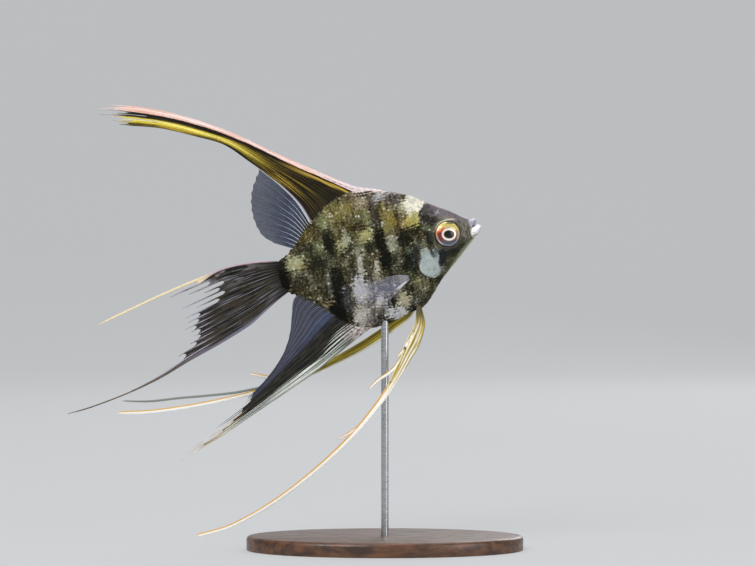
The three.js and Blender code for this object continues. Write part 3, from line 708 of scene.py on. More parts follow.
def skin_material():
    material, nodes, shader = new_material("wet_skin", Roughness=0.42, Specular_IOR_Level=0.1)
    place = nodes.attribute("place")
    s, h, y = nodes.split(place)
    tone = marbling_at(nodes, place)
    # A pale grain on the bare skin of the face.
    grain = nodes.step(nodes.noise(place, 3.5, 3.0, 0.55), 0.4, 0.7, 0, 0.12)
    tone = nodes.tint(tone, "#D9D4CC", grain, nodes.step(s, 20, 15))
    # Folds of skin between the eye and the mouth, paler on their crests and darker in their troughs as
    # painted light and shade.
    slant = nodes.total(nodes.product(s, 4.2), nodes.product(h, 1.5))
    fold = nodes.math("SINE", nodes.total(slant, nodes.product(nodes.noise(place, 0.6), 16.0)))
    loose = nodes.product(nodes.band(s, 2.9, 6.2, 0.6), nodes.band(h, -3.0, 2.2, 0.8))
    tone = nodes.tint(tone, "#9C9A8E", nodes.step(fold, 0.2, 1.0), loose, 0.45)
    tone = nodes.tint(tone, "#37342D", nodes.step(fold, -0.2, -1.0), loose, 0.45)
    brow, socket, maxilla = nodes.split(nodes.attribute("orbit"))
    # Painted shade darkens the recessed socket round the eye.
    tone = nodes.tint(tone, "#2C2A22", socket)
    tone = nodes.tint(tone, "#CFCDB8", brow)
    lip_upper, lip_lower, groove_shade = nodes.split(nodes.attribute("mouth"))
    tone = nodes.tint(tone, nodes.mix(nodes.step(h, 2.3, 3.1), "#A39DB0", "#DAD4E6"), lip_upper)
    tone = nodes.tint(tone, "#C9CDBD", maxilla)
    # The lower lip is white down to the fold under it, and greyer on the chin and at its corners.
    above_fold = nodes.total(h, LIP_FOLD_DROP, nodes.product(y, y, LIP_FOLD_ARCH))
    lower_tone = nodes.mix(nodes.step(above_fold, 0.1, -0.3), "#F8F5FA", "#C9C5BC")
    lower_tone = nodes.tint(lower_tone, "#A9AA96", nodes.step(h, -1.2, -2.6))
    cheek_tone = nodes.mix(nodes.step(h, -1.7, -2.5), "#F8F5FA", "#B7B8A6")
    lower_tone = nodes.tint(lower_tone, cheek_tone, nodes.step(nodes.absolute(y), 1.1, 1.9))
    tone = nodes.tint(tone, lower_tone, lip_lower)
    # Painted shade in the grooves: the mouth's crease, the nostril, the fold under the lower lip and the
    # slit under the gill cover.
    tone = nodes.tint(tone, nodes.mix(nodes.step(s, 12, 16), "#2B2722", "#15130F"), groove_shade)
    nodes.feed(shader["Base Color"], tone)
    relief = nodes.total(nodes.noise(place, 3.2, 4.0, 0.55), nodes.product(fold, loose, 0.5))
    nodes.feed(shader["Normal"], nodes.bump(relief, 0.35, 0.00012))
    return material


def scale_material():
    """The marbling of the skin, with a faint rim, a small difference of tone from scale to scale and a
    painted glint on a few scales.
    """
    material, nodes, shader = new_material("scales", Specular_IOR_Level=0.05)
    tone = marbling_at(nodes, nodes.attribute("place"))
    across, along, _ = nodes.split(nodes.attribute("leaf"))
    light, hue, gloss = nodes.split(nodes.attribute("lots"))  # drawn once for each scale
    body = nodes.step(nodes.luminance(tone), 0.01, 0.12, 0.03, 1.0)
    pale = nodes.mix(hue, "#E3DCA8", "#E4E6E2")
    spot = nodes.product(nodes.step(nodes.absolute(across), 0.8, 0.3), nodes.band(along, 0.5, 0.85, 0.15))
    # A painted glint on the free edge of a few scales.
    painted_glint = nodes.product(nodes.step(light, 0.86, 0.93), nodes.step(hue, 0.2, 0.6, 0.2, 0.5), body, spot)
    tone = nodes.tint(tone, pale, nodes.step(light, 0.6, 1.0, 0, 0.12), body)
    tone = nodes.tint(tone, pale, painted_glint)
    tone = nodes.tint(tone, "#14130D", nodes.step(light, 0.45, 0.0, 0, 0.2))
    side = nodes.step(nodes.absolute(across), 0.6, 1.0)
    rim = nodes.most(nodes.step(along, 0.75, 1.0), side)
    tone = nodes.tint(tone, "#1D1B14", rim, 0.12)
    nodes.feed(shader["Base Color"], tone)
    nodes.feed(shader["Roughness"], nodes.step(gloss, 0.0, 1.0, 0.55, 0.36))
    return material


# ---------------------------------------------------------------- skin
SKIN_AROUND = 300
SKIN_RINGS = 292
NOSE_CENTRE_S = 4.5  # ahead of this the rings fan forward round one centre
NOSE_RINGS = 92
NOSE_REACH, NOSE_STRIDE = 7.5, 0.1  # how far those rays are searched, and in what steps
HEAD_RINGS = 232  # up to HEAD_END
HEAD_END = 25.0
QUARTER = SKIN_AROUND // 4
FLESH = ("head", "trunk", "tail_stalk", "upper_lip", "lower_lip", "gill_cover_left", "gill_cover_right")


def section_point(s, angle):
    """(y, h) of the skin in the body's section at s."""
    level = widest(s)
    rise = np.where(np.sin(angle) > 0, back(s) - level, level - belly(s)) - SCALE_DEPTH
    side = np.sign(np.cos(angle)) * np.abs(np.cos(angle)) ** KEEL
    return (half_width(s) - SCALE_DEPTH) * side, level + rise * np.sin(angle)


def depth_in_body(s, h, y):
    """About how deep points lie in the body, which is rounded off behind the lips."""
    level = widest(s)
    tip = np.maximum(ramp(s, -0.3, 2.6), 1e-4) ** 0.5
    rise = (np.where(h > level, back(s) - level, level - belly(s)) - SCALE_DEPTH) * tip
    wide = (half_width(s) - SCALE_DEPTH) * tip
    reach = np.sqrt((np.abs(y) / wide) ** (2 / KEEL) + ((h - level) / rise) ** 2)
    return (1 - reach) * wide - np.maximum(-0.2 - s, 0)


def depth_in_lip(which, s, h, y):
    lip = LIPS[which]
    tilt = math.radians(lip["tilt"])
    ahead, up = lip["s"] - s, h - lip["h"]
    along = (ahead * math.cos(tilt) + up * math.sin(tilt)) / lip["length"]
    high = (-ahead * math.sin(tilt) + up * math.cos(tilt)) / lip["height"]
    return (1 - np.sqrt(along ** 2 + high ** 2 + (y / lip["width"]) ** 2)) * lip["height"]


def blended(a, b, softness):
    """The greater of two depths, with a soft join where they are alike."""
    return 0.5 * (a + b + np.sqrt((a - b) ** 2 + softness))


def depth_in_head(s, h, y):
    """The face with both lips, softly joined to it and closed on each other along the mouth."""
    face = blended(depth_in_body(s, h, y), depth_in_lip("upper", s, h, y), 0.06)
    return blended(face, depth_in_lip("lower", s, h, y), 0.02)


def nose_points(polar, around):
    """The outermost points of the head along rays from the nose's centre. polar is 0 ahead."""
    level = float(widest(NOSE_CENTRE_S))
    y_side, h_side = section_point(np.full_like(around, NOSE_CENTRE_S), around)
    side = np.stack([y_side, h_side - level], axis=-1)
    side /= np.linalg.norm(side, axis=-1, keepdims=True)
    forward, aside = np.cos(polar), np.sin(polar)

    def at(reach):
        s = NOSE_CENTRE_S - reach * forward
        return s, level + reach * aside * side[..., 1], reach * aside * side[..., 0]

    # Steps outwards to the last place inside, then halves the step on which the surface lies.
    low = np.zeros_like(polar)
    for reach in np.arange(NOSE_STRIDE, NOSE_REACH, NOSE_STRIDE):
        low = np.where(depth_in_head(*at(np.full_like(polar, reach))) > 0, reach, low)
    high = low + NOSE_STRIDE
    for _ in range(12):
        middle = (low + high) / 2
        hit = depth_in_head(*at(middle)) > 0
        low, high = np.where(hit, middle, low), np.where(hit, high, middle)
    return np.stack(at(low), axis=-1)


def depth_in_outline(outline, s, h):
    """Distance of points to a closed outline: positive inside."""
    inside = np.zeros(s.shape, bool)
    nearest = np.full(s.shape, 1e9)
    for (s0, h0), (s1, h1) in zip(outline, np.roll(outline, -1, axis=0)):
        along_s, along_h = s1 - s0, h1 - h0
        t = np.clip(((s - s0) * along_s + (h - h0) * along_h) / (along_s ** 2 + along_h ** 2), 0, 1)
        nearest = np.minimum(nearest, np.hypot(s - s0 - t * along_s, h - h0 - t * along_h))
        crosses = (h0 > h) != (h1 > h)
        inside ^= crosses & (s < s0 + along_s * (h - h0) / (along_h or 1e-9))
    return np.where(inside, nearest, -nearest)


def distance_along(track, s, h, count=40):
    points = line(track)(np.linspace(0, 1, count))
    return np.min(np.hypot(s[..., None] - points[:, 0], h[..., None] - points[:, 1]), axis=-1)


COVER_EDGE = line(GILL_COVER + GILL_COVER[:1])(np.linspace(0, 1, 60, endpoint=False))
CHEEK_LINE = [[16.4, -3.6], [16.6, -7.4], [15.2, -10.4], [12.0, -9.9], [8.0, -6.9], [4.6, -4.0]]
BROW = [[14.9, 1.9], [14.2, 3.2], [12.6, 4.45], [10.2, 4.85], [8.5, 4.75], [6.8, 4.4]]
MAXILLA = [[1.7, 2.0], [2.4, 0.4], [3.0, -1.5]]  # the fold that runs down behind the lips
NOSTRIL_S, NOSTRIL_H, NOSTRIL_RADIUS = 6.0, 3.3, 0.34
MUSCLE_S, MUSCLE_H, MUSCLE_TALL = 27.0, -11.2, 1.9  # at the root of the pectoral fin
CREASE_DEPTH, LIP_FOLD_DEPTH, LIP_NOTCH_DEPTH = 0.34, 0.2, 0.1


def from_eye_middle(s, h):
    return np.hypot(s - EYE_S, h - EYE_H)


def from_nostril(s, h):
    return np.hypot(s - NOSTRIL_S, h - NOSTRIL_H)


def free_edge(s, h):
    """1 where the gill cover's edge stands free, behind and below."""
    return ramp(s, 15.5, 18.5) * ramp(-h, -4.5, -1)


def below_lip(h, y):
    """How far points lie below the fold that arches under the lower lip."""
    return -(h + LIP_FOLD_DROP + LIP_FOLD_ARCH * y ** 2)


def head_relief(s, h):
    """How far the skin stands out or in at (s, h) of the head, in millimetres."""
    from_eye = from_eye_middle(s, h)
    # the socket of the eye, its raised rim, the dip round that and the brow over it
    relief = -2.0 * ramp(from_eye, EYE_RADIUS + 0.02, EYE_RADIUS - 0.35)
    relief += 0.16 * bump(from_eye, EYE_RADIUS + 0.4, 0.34)
    relief -= 0.12 * bump(from_eye, EYE_RADIUS + 1.3, 0.5)
    relief += 0.12 * bump(distance_along(BROW, s, h), 0, 0.3)
    fold = distance_along(MAXILLA, s, h)
    relief += 0.14 * bump(fold, 0, 0.22) - 0.10 * bump(fold, 0.5, 0.25)
    # the gill cover's free edge, which stands over a slit
    cover = depth_in_outline(COVER_EDGE, s, h)
    loose = free_edge(s, h)
    relief += 0.30 * loose * (ramp(cover, -0.05, 0.25) - 0.55 * ramp(cover, 0.3, 2.5))
    relief -= 0.16 * loose * bump(cover, -0.3, 0.3)
    cheek = distance_along(CHEEK_LINE, s, h)
    clear_of_eye = ramp(from_eye, EYE_RADIUS + 0.4, EYE_RADIUS + 1.4)
    relief += (0.10 * bump(cheek, 0.75, 0.5) - 0.16 * bump(cheek, 0, 0.32)) * clear_of_eye
    nostril = from_nostril(s, h)
    relief += 0.10 * bump(nostril, 0.62, 0.22) - 0.42 * bump(nostril, 0, NOSTRIL_RADIUS)
    muscle = np.hypot(s - MUSCLE_S, (h - MUSCLE_H) / MUSCLE_TALL)
    return relief + 0.35 * bump(muscle, 0, 1.0)


def skin_points(around):
    """(s, h, y) of the skin for each ring and place round it."""
    ring = np.arange(SKIN_RINGS + 1.0)[:, None] + 0 * around
    around = around + 0 * ring
    head = NOSE_CENTRE_S + (HEAD_END - NOSE_CENTRE_S) * (ring - NOSE_RINGS) / (HEAD_RINGS - NOSE_RINGS)
    rear = HEAD_END + (BODY_LENGTH - HEAD_END) * (ring - HEAD_RINGS) / (SKIN_RINGS - HEAD_RINGS)
    s = np.where(ring <= HEAD_RINGS, head, rear)
    y, h = section_point(s, around)
    y[-1], h[-1] = 0, widest(BODY_LENGTH)
    points = np.stack([s, h, y], axis=-1)
    polar = np.radians(90) * (ring[:NOSE_RINGS] / NOSE_RINGS) ** 0.9
    points[:NOSE_RINGS] = nose_points(polar, around[:NOSE_RINGS])
    # Round the eye the skin rises to the plane of the eye's rim.
    s, h, y = np.moveaxis(points, -1, 0)
    near_eye = ramp(from_eye_middle(s, h), EYE_RADIUS + 2.2, EYE_RADIUS + 0.3)
    rim = EYE_Y + EYE_RIM + (s - EYE_S) * math.tan(EYE_FORWARD)
    points[..., 2] += np.sign(y) * near_eye * 0.85 * (rim - np.abs(y)) * ramp(np.abs(y), 0.3, 1.5)
    return points


def mouth_parts(s, h, y):
    """How far points lie on the upper lip, on the lower lip, in the mouth's crease and under the lip."""
    upper, lower = depth_in_lip("upper", s, h, y), depth_in_lip("lower", s, h, y)
    body = depth_in_body(s, h, y)
    on_upper = ramp(upper - np.maximum(body, lower), -0.25, 0.05)
    on_lower = ramp(lower - np.maximum(body - 0.35, upper), -0.25, 0.05)
    between = bump(upper - lower, 0, 0.22) * ramp(np.maximum(upper, lower), -0.8, -0.4)
    return on_upper, on_lower, between * ramp(-s, -3.4, -2.6), on_lower * bump(below_lip(h, y), 0, 0.2)


def make_skin():
    """The one skin of head and body. Its attributes say where lips, grooves and brow lie."""
    skin, table = ball_grid("skin", SKIN_AROUND, SKIN_RINGS)
    around = np.arange(SKIN_AROUND) * 2 * math.pi / SKIN_AROUND
    points = spread(table, skin_points(around[None, :]))
    place_vertices(skin, posed(points))
    in_edit_mode(skin, outward, lambda: bpy.ops.mesh.vertices_smooth(factor=0.4, repeat=1))
    s, h, y = points.T
    on_upper, on_lower, crease, under_lip = mouth_parts(s, h, y)
    relief = head_relief(s, h) * ramp(np.abs(y), 0.2, 1.0)
    relief -= CREASE_DEPTH * crease + LIP_FOLD_DEPTH * under_lip
    relief -= LIP_NOTCH_DEPTH * on_upper * bump(y, 0, 0.35)
    place_vertices(skin, coordinates(skin) + normals_of(skin) * (relief * MM)[:, None])
    store(skin, "place", points)
    nostril = bump(from_nostril(s, h), 0, NOSTRIL_RADIUS)
    gill_slit = free_edge(s, h) * bump(depth_in_outline(COVER_EDGE, s, h), -0.35, 0.4)
    # The third channel is painted shade in the mouth's crease, the nostril, the fold under the lip and
    # the gill slit.
    groove_shade = np.clip(0.95 * crease + 0.8 * nostril + 0.3 * under_lip + 0.85 * gill_slit, 0, 1)
    store(skin, "mouth", np.stack([on_upper, on_lower, groove_shade], axis=-1))
    from_eye = from_eye_middle(s, h)
    brow = 0.95 * bump(distance_along(BROW, s, h), 0, 0.3) * ramp(s, 6.6, 8.4)
    # The socket channel is painted shade round the eye.
    socket = 0.7 * ramp(from_eye, EYE_RADIUS + 0.35, EYE_RADIUS + 0.05)
    maxilla = 0.8 * bump(distance_along(MAXILLA, s, h), 0, 0.2) * (1 - on_lower)
    store(skin, "orbit", np.stack([brow, socket, maxilla], axis=-1))
    finish_piece(skin, skin_material(), "skin", *FLESH)
    return skin, table, points


# ---------------------------------------------------------------- scales
SCALE_PITCH = 1.05  # from one scale to the next along the body
ROW_PITCH = 0.92
SMALL = 0.7  # the scales of the cheek and gill cover are this share as big
SEAT_STRAY, LIFT_STRAY = 0.04, 0.006  # how unevenly the scales sit
SIZE_STRAY = 0.93, 1.07
SCALES_FROM = 6.0  # the first scales on the head
SIDESTEP = 0.3  # the way along and over the flank is measured this far to each side
PATCH = 0.003  # each scale's patch on the unwrap of the skin
SCALE_ACROSS, SCALE_ALONG = 5, 4  # vertices of one scale
SCALE_OVERLAP = 0.4  # how far its root reaches under the scale ahead
SCALE_TILT = 0.09  # how far its free edge stands out


def scale_pattern():
    """One scale, about a unit long: a thin dome, narrow at its root and round at its free edge."""
    pattern, table = sheet_grid("scale_pattern", SCALE_ACROSS, SCALE_ALONG)
    across, along = np.meshgrid(np.linspace(-1, 1, SCALE_ACROSS), np.linspace(0, 1, SCALE_ALONG))
    wide = 0.44 + 0.20 * np.sin(math.pi * np.clip(along * 0.85, 0, 1))
    rounding = 0.34 * across ** 2 * ramp(along, 0.3, 1.0)
    long = along * 1.6 - SCALE_OVERLAP - rounding
    dome = (1 - across ** 2) * (0.01 + 0.025 * ramp(along, 0, 0.6)) + SCALE_TILT * along - 0.03
    place_vertices(pattern, spread(table, np.stack([across * wide, long, dome], axis=-1)))
    activate(pattern)
    bpy.ops.object.mode_set(mode="EDIT")
    bpy.ops.mesh.select_mode(type="EDGE")
    bpy.ops.mesh.select_all(action="DESELECT")
    bpy.ops.mesh.select_non_manifold()
    bpy.ops.mesh.edge_face_add()
    bpy.ops.mesh.select_all(action="SELECT")
    bpy.ops.mesh.quads_convert_to_tris()
    outward()
    bpy.ops.object.mode_set(mode="OBJECT")
    shape = coordinates(pattern)
    faces = np.array([list(face.vertices) for face in pattern.data.polygons])
    local = spread(table, np.stack([across, along], axis=-1))
    bpy.data.objects.remove(pattern)
    return shape, faces, local


def naked(s, h):
    """Where no scales show: the eye, lips, snout, forehead, chin and the gill cover's smooth patch."""
    eye = from_eye_middle(s, h) < EYE_RADIUS + 1.15
    pearl = np.hypot(s - PEARL_MIDDLE[0], h - PEARL_MIDDLE[1]) < PEARL_REACH - 0.5
    snout = (s < 5.5) | ((s < 9) & (h > 2.0))
    forehead = (s < 19) & (h > 3.2 + 0.45 * (s - 5.5))
    chin = (s < 10) & (h < -1.2 - 0.72 * s + 0.4)
    return eye | pearl | snout | forehead | chin


def small_scaled(s, h):
    return (depth_in_outline(COVER_EDGE, s, h) > -0.1) | (s < 15)


class Flank:
    """One side of the skin, read at (s, way): way runs up round the section from its middle."""

    def __init__(self, side, skin, table, points):
        half = np.arange(-QUARTER, QUARTER + 1)
        columns = half % SKIN_AROUND if side == LEFT else (SKIN_AROUND // 2 - half) % SKIN_AROUND
        rings = table[NOSE_RINGS + 2:SKIN_RINGS][:, columns]
        place = points[rings]
        steps = np.linalg.norm(np.diff(place, axis=1), axis=-1)
        self.ways = np.concatenate([np.zeros((len(rings), 1)), np.cumsum(steps, axis=1)], axis=1)
        self.ways -= self.ways[:, [QUARTER]]
        self.ring_s = place[:, QUARTER, 0]
        # An unwrap of the whole skin: the right flank fills its left half.
        u = np.linspace(0, 0.5, len(half)) + (0.5 if side == LEFT else 0)
        v = np.linspace(0, 1, len(rings))
        unwrap = np.stack(np.meshgrid(u, v), axis=-1)
        self.layers = np.concatenate([coordinates(skin)[rings], place, unwrap], axis=-1)

    def between(self, s):
        i = np.clip(np.searchsorted(self.ring_s, s) - 1, 0, len(self.ring_s) - 2)
        return i, (s - self.ring_s[i]) / (self.ring_s[i + 1] - self.ring_s[i])

    def reach(self, s):
        """The lowest and the highest way at s."""
        i, t = self.between(s)
        ends = self.ways[i] * (1 - t) + self.ways[i + 1] * t
        return ends[0], ends[-1]

    def at(self, s, way):
        """World place, fish place and unwrap for arrays of s and way."""
        i, t = self.between(s)
        t = t[:, None]
        ways = self.ways[i] * (1 - t) + self.ways[i + 1] * t
        j = np.clip((ways <= way[:, None]).sum(axis=1) - 1, 0, ways.shape[1] - 2)
        every = np.arange(len(s))
        f = np.clip((way - ways[every, j]) / (ways[every, j + 1] - ways[every, j]), 0, 1)[:, None]
        near = self.layers[i, j] * (1 - f) + self.layers[i, j + 1] * f
        far = self.layers[i + 1, j] * (1 - f) + self.layers[i + 1, j + 1] * f
        return near * (1 - t) + far * t


def seats(flank, size):
    """Staggered places (s, way) of scales of this size over a flank."""
    found = []
    for column, s in enumerate(np.arange(SCALES_FROM, BODY_LENGTH + 0.2, SCALE_PITCH * size / 2)):
        low, high = flank.reach(s)
        row_pitch = ROW_PITCH * size
        rows = np.arange(math.ceil((low + 0.3) / row_pitch), math.ceil((high - 0.3) / row_pitch))
        found += [(s, row * row_pitch) for row in rows if (row + column) % 2 == 0]
    s, way = (np.array(found) + chance.normal(0, SEAT_STRAY, (len(found), 2))).T
    here = flank.at(s, way)
    keep = ~naked(here[:, 3], here[:, 4]) & (small_scaled(here[:, 3], here[:, 4]) == (size < 1))
    return np.column_stack([s, way, np.full(len(s), size)])[keep]


def unit(vectors):
    return vectors / np.linalg.norm(vectors, axis=1, keepdims=True)


def laid_out(local_x, local_y, over, ahead):
    """Each corner of each scale, from its place in the scale and the scale's own two directions."""
    return local_x[None, :, None] * over[:, None] + local_y[None, :, None] * ahead[:, None]


def scale_directions(flank, side, s, way):
    """At each scale's seat, the directions over the flank, along it and outwards."""
    ahead = unit((flank.at(s + SIDESTEP, way) - flank.at(s - SIDESTEP, way))[:, :3])
    over = (flank.at(s, way + SIDESTEP) - flank.at(s, way - SIDESTEP))[:, :3]
    out = unit(np.cross(ahead, over) * side)
    return np.cross(out, ahead), ahead, out


def scale_sizes(s, size, here):
    """How big each scale is, in metres. They get smaller towards the tail and beside bare skin."""
    fade = ramp(s, BODY_LENGTH + 0.6, BODY_LENGTH - 4) * 0.45 + 0.55
    around = ((1, 0), (-1, 0), (0, 1), (0, -1))
    beside = sum(naked(here[:, 3] + a, here[:, 4] + b).astype(float) for a, b in around)
    return size * fade * (1 - 0.1 * beside) * SCALE_PITCH * chance.uniform(*SIZE_STRAY, len(s)) * MM


def make_scales(name, side, flank, material, pattern):
    """The overlapping scales of one flank as one piece."""
    shape, faces, local = pattern
    s, way, size = np.concatenate([seats(flank, 1.0), seats(flank, SMALL)]).T
    count, corners = len(s), len(shape)
    here = flank.at(s, way)
    over, ahead, out = scale_directions(flank, side, s, way)
    grow = scale_sizes(s, size, here)
    lift = shape[None, :, 2] + chance.normal(0, LIFT_STRAY, count)[:, None]
    offset = laid_out(shape[:, 0], shape[:, 1], over, ahead) + lift[..., None] * out[:, None]
    vertices = here[:, None, :3] + offset * grow[:, None, None]
    lots = chance.uniform(0, 1, (count, 3))
    all_faces = (faces[None] + (np.arange(count) * corners)[:, None, None]).reshape(-1, 3)
    mesh = bpy.data.meshes.new(name)
    mesh.from_pydata(vertices.reshape(-1, 3).tolist(), [], all_faces.tolist())
    scales = bpy.data.objects.new(name, mesh)
    bpy.context.scene.collection.objects.link(scales)
    place_ahead = (flank.at(s + grow / MM, way) - here)[:, 3:6]
    place_over = (flank.at(s, way + grow / MM) - here)[:, 3:6]
    place = here[:, None, 3:6] + laid_out(shape[:, 0], shape[:, 1], place_over, place_ahead)
    store(scales, "place", place.reshape(-1, 3))
    store(scales, "leaf", np.column_stack([np.tile(local, (count, 1)), np.zeros(count * corners)]))
    store(scales, "lots", np.repeat(lots, corners, axis=0))
    unwrap = here[:, None, 6:8] + (local * (0.5, 1) - (0, 0.5))[None] * PATCH
    loops = unwrap.reshape(-1, 2)[all_faces.ravel()]
    mesh.uv_layers.new(name="OFBake").data.foreach_set("uv", loops.astype(np.float32).ravel())
    in_edit_mode(scales, outward)
    finish_piece(scales, material, "skin")
    activate(scales)
    bpy.ops.object.shade_smooth_by_angle(angle=math.radians(60))


# ---------------------------------------------------------------- eyes
EYE_AROUND, EYE_RINGS = 96, 60
CORNEA_RISE, CORNEA_REACH = 0.12, 2.6
PUPIL_AHEAD, PUPIL_UP = 0.25, -0.2
PUPIL_LONG, PUPIL_HIGH = 1.76, 1.34
# The bright ring round the pupil is a painted reflection.
RING_LONG, RING_HIGH = 2.55, 2.2  # the bright ring round the pupil


def eye_material():
    material, nodes, shader = new_material(
        "eye", Roughness=0.3, Coat_Weight=0.6, Coat_Roughness=0.03, Specular_IOR_Level=0.3
    )
    ahead, up, depth = nodes.split(nodes.attribute("iris"))
    spot = nodes.join(ahead, up, depth)
    reach = nodes.vector("LENGTH", nodes.join(ahead, up, 0))
    turn = nodes.math("ARCTAN2", up, ahead)
    around = nodes.join(nodes.math("SINE", turn), nodes.math("COSINE", turn), 0)
    streaks = nodes.noise(nodes.scaled(around, 9.0), 2.0, 3.0, 0.6)
    blotches = nodes.noise(spot, 1.1, 3.0, 0.6)
    rough_reach = nodes.total(reach, nodes.step(streaks, 0.2, 0.8, -0.14, 0.14))
    # Gold above, wine-red behind with an orange glow over it, rosy brown ahead and slate below.
    tone = nodes.mix(nodes.step(up, 0.6, 1.8), "#734E4C", "#D3C15F")
    tone = nodes.tint(tone, "#CDBD95", nodes.step(reach, 3.0, 2.5), nodes.step(up, 1.0, 2.0))
    rear = nodes.step(ahead, -0.6, -2.0)
    tone = nodes.tint(tone, "#7A2833", rear, nodes.step(up, 1.6, 0.4))
    tone = nodes.tint(tone, "#C4592F", rear, nodes.band(up, 0.5, 2.2, 0.5))
    front = nodes.product(nodes.step(ahead, 2.2, 2.8), nodes.band(up, -1.6, 1.6, 0.5))
    tone = nodes.tint(tone, "#B79C76", front, nodes.step(reach, 3.15, 3.45))
    tone = nodes.tint(tone, "#555463", nodes.step(up, -1.4, -2.5), nodes.step(ahead, -2.6, -1.4))
    tone = nodes.tint(tone, "#1E100C", nodes.step(streaks, 0.5, 0.75), 0.3)
    tone = nodes.tint(tone, "#F4E9AC", nodes.step(blotches, 0.6, 0.75), nodes.step(up, 0.5, 1.5), 0.3)
    # The pale ring at the eye's edge: yellow above, gold behind, silver below.
    ring_tone = nodes.mix(nodes.step(up, -3.2, -0.5), "#858D9C", "#B9B49A")
    ring_tone = nodes.tint(ring_tone, "#E9DE9E", nodes.step(up, 0.0, 2.0))
    ring_tone = nodes.tint(
        ring_tone, "#D2A45A", nodes.step(ahead, -2.6, -3.6), nodes.band(up, -1.0, 0.9, 0.5),
    )
    ring_tone = nodes.tint(
        ring_tone, "#C5BCBA", nodes.step(ahead, -0.8, -2.0), nodes.band(up, -3.6, -2.2, 0.5),
    )
    tone = nodes.tint(tone, ring_tone, nodes.band(rough_reach, 3.72, 4.2, 0.12))
    # A painted shadow of the brow lies across the top of the iris.
    brow_shadow = nodes.product(nodes.step(up, 3.35, 3.55), nodes.band(ahead, -0.5, 1.9, 0.5))
    tone = nodes.tint(tone, "#4E4224", brow_shadow, 0.85)
    tone = nodes.tint(tone, "#2E2A22", nodes.step(rough_reach, 4.2, 4.4))
    # The bright white ring round the pupil is a painted reflection, with a thin gold line on each edge.
    middle = nodes.vector("SUBTRACT", nodes.join(ahead, up, 0), (PUPIL_AHEAD, PUPIL_UP, 0))
    oval = nodes.vector("LENGTH", nodes.vector("DIVIDE", middle, (RING_LONG, RING_HIGH, 1)))
    tone = nodes.tint(tone, "#B98F3C", nodes.step(oval, 1.09, 0.99))
    tone = nodes.tint(tone, "#F7F4F2", nodes.step(oval, 1.0, 0.93))
    pupil = nodes.vector("LENGTH", nodes.vector("DIVIDE", middle, (PUPIL_LONG, PUPIL_HIGH, 1)))
    tone = nodes.tint(tone, "#C8963A", nodes.step(pupil, 1.16, 1.07))
    tone = nodes.tint(tone, "#04060A", nodes.step(pupil, 1.06, 0.98))
    nodes.feed(shader["Base Color"], tone)
    nodes.feed(shader["Metallic"], nodes.step(pupil, 1.0, 1.2, 0, 0.25))
    return material


def make_eye(which, side, material):
    """The eye is a shallow lens that looks out and a little forward."""
    eye, table = ball_grid("eyeball_" + which, EYE_AROUND, EYE_RINGS)
    ring = np.linspace(0, math.pi, EYE_RINGS + 1)[:, None]
    around = np.arange(EYE_AROUND)[None, :] * 2 * math.pi / EYE_AROUND
    radius = EYE_RADIUS * np.sin(ring) ** 0.85
    cornea = CORNEA_RISE * bump(radius, 0, CORNEA_REACH) * (ring < math.pi / 2)
    out = EYE_DEPTH * np.sign(np.cos(ring)) * np.abs(np.cos(ring)) + cornea - 0.1
    ahead, up = radius * np.cos(around), radius * np.sin(around)
    out = out + 0 * ahead
    points = np.stack([
        EYE_S - (ahead * math.cos(EYE_FORWARD) + out * math.sin(EYE_FORWARD)),
        EYE_H + up,
        side * (EYE_Y + out * math.cos(EYE_FORWARD) - ahead * math.sin(EYE_FORWARD)),
    ], axis=-1)
    place_vertices(eye, posed(spread(table, points)))
    # The pattern of the iris stands level in the row frame.
    turned = np.stack([
        ahead * math.cos(PITCH) - up * math.sin(PITCH),
        ahead * math.sin(PITCH) + up * math.cos(PITCH),
        out,
    ], axis=-1)
    store(eye, "iris", spread(table, turned))
    in_edit_mode(eye, outward)
    finish_piece(eye, material, "eyes", "eye_" + which)


# ---------------------------------------------------------------- fins
RAY_OFFSETS = (-1, -0.45, 0.45, 1)  # columns of vertices across a ray, in half widths
WEB_SHARES = (0.34, 0.66)  # and across the web to the next ray
NOTCH = 0.012  # how far the web's free edge is drawn in
MOST_OF_SPACING = 0.36  # half a ray's width is never more of the rays' spacing
TIP_LENGTH = 0.07  # the share of its length over which a ray narrows to its tip
RAY_THICKNESS, WEB_THICKNESS = 0.62, 0.2  # as shares of the fin's thickness, at its root


def fan_point(fin):
    """The place (s, h) at u across the rays of a fin and t along them."""
    first, last = line(fin["first"]), line(fin["last"])
    edge = line(fin["edge"]) if "edge" in fin else None

    def point(u, t):
        across = u[..., None]
        flat = first(t) * (1 - across) + last(t) * across
        if edge is None:
            return flat
        chord = first(1.0) * (1 - across) + last(1.0) * across
        return flat + (edge(np.clip(u, 0, 1)) - chord) * t[..., None] ** 2

    return point


def fan_columns(rays):
    """For each column of a fan's sheet: its ray, its place across the ray and its share of the web."""
    columns = []
    for ray in range(rays):
        columns += [(ray, offset, 0.0) for offset in RAY_OFFSETS]
        if ray < rays - 1:
            columns += [(ray, 1, share) for share in WEB_SHARES]
    return np.array(columns, float).T


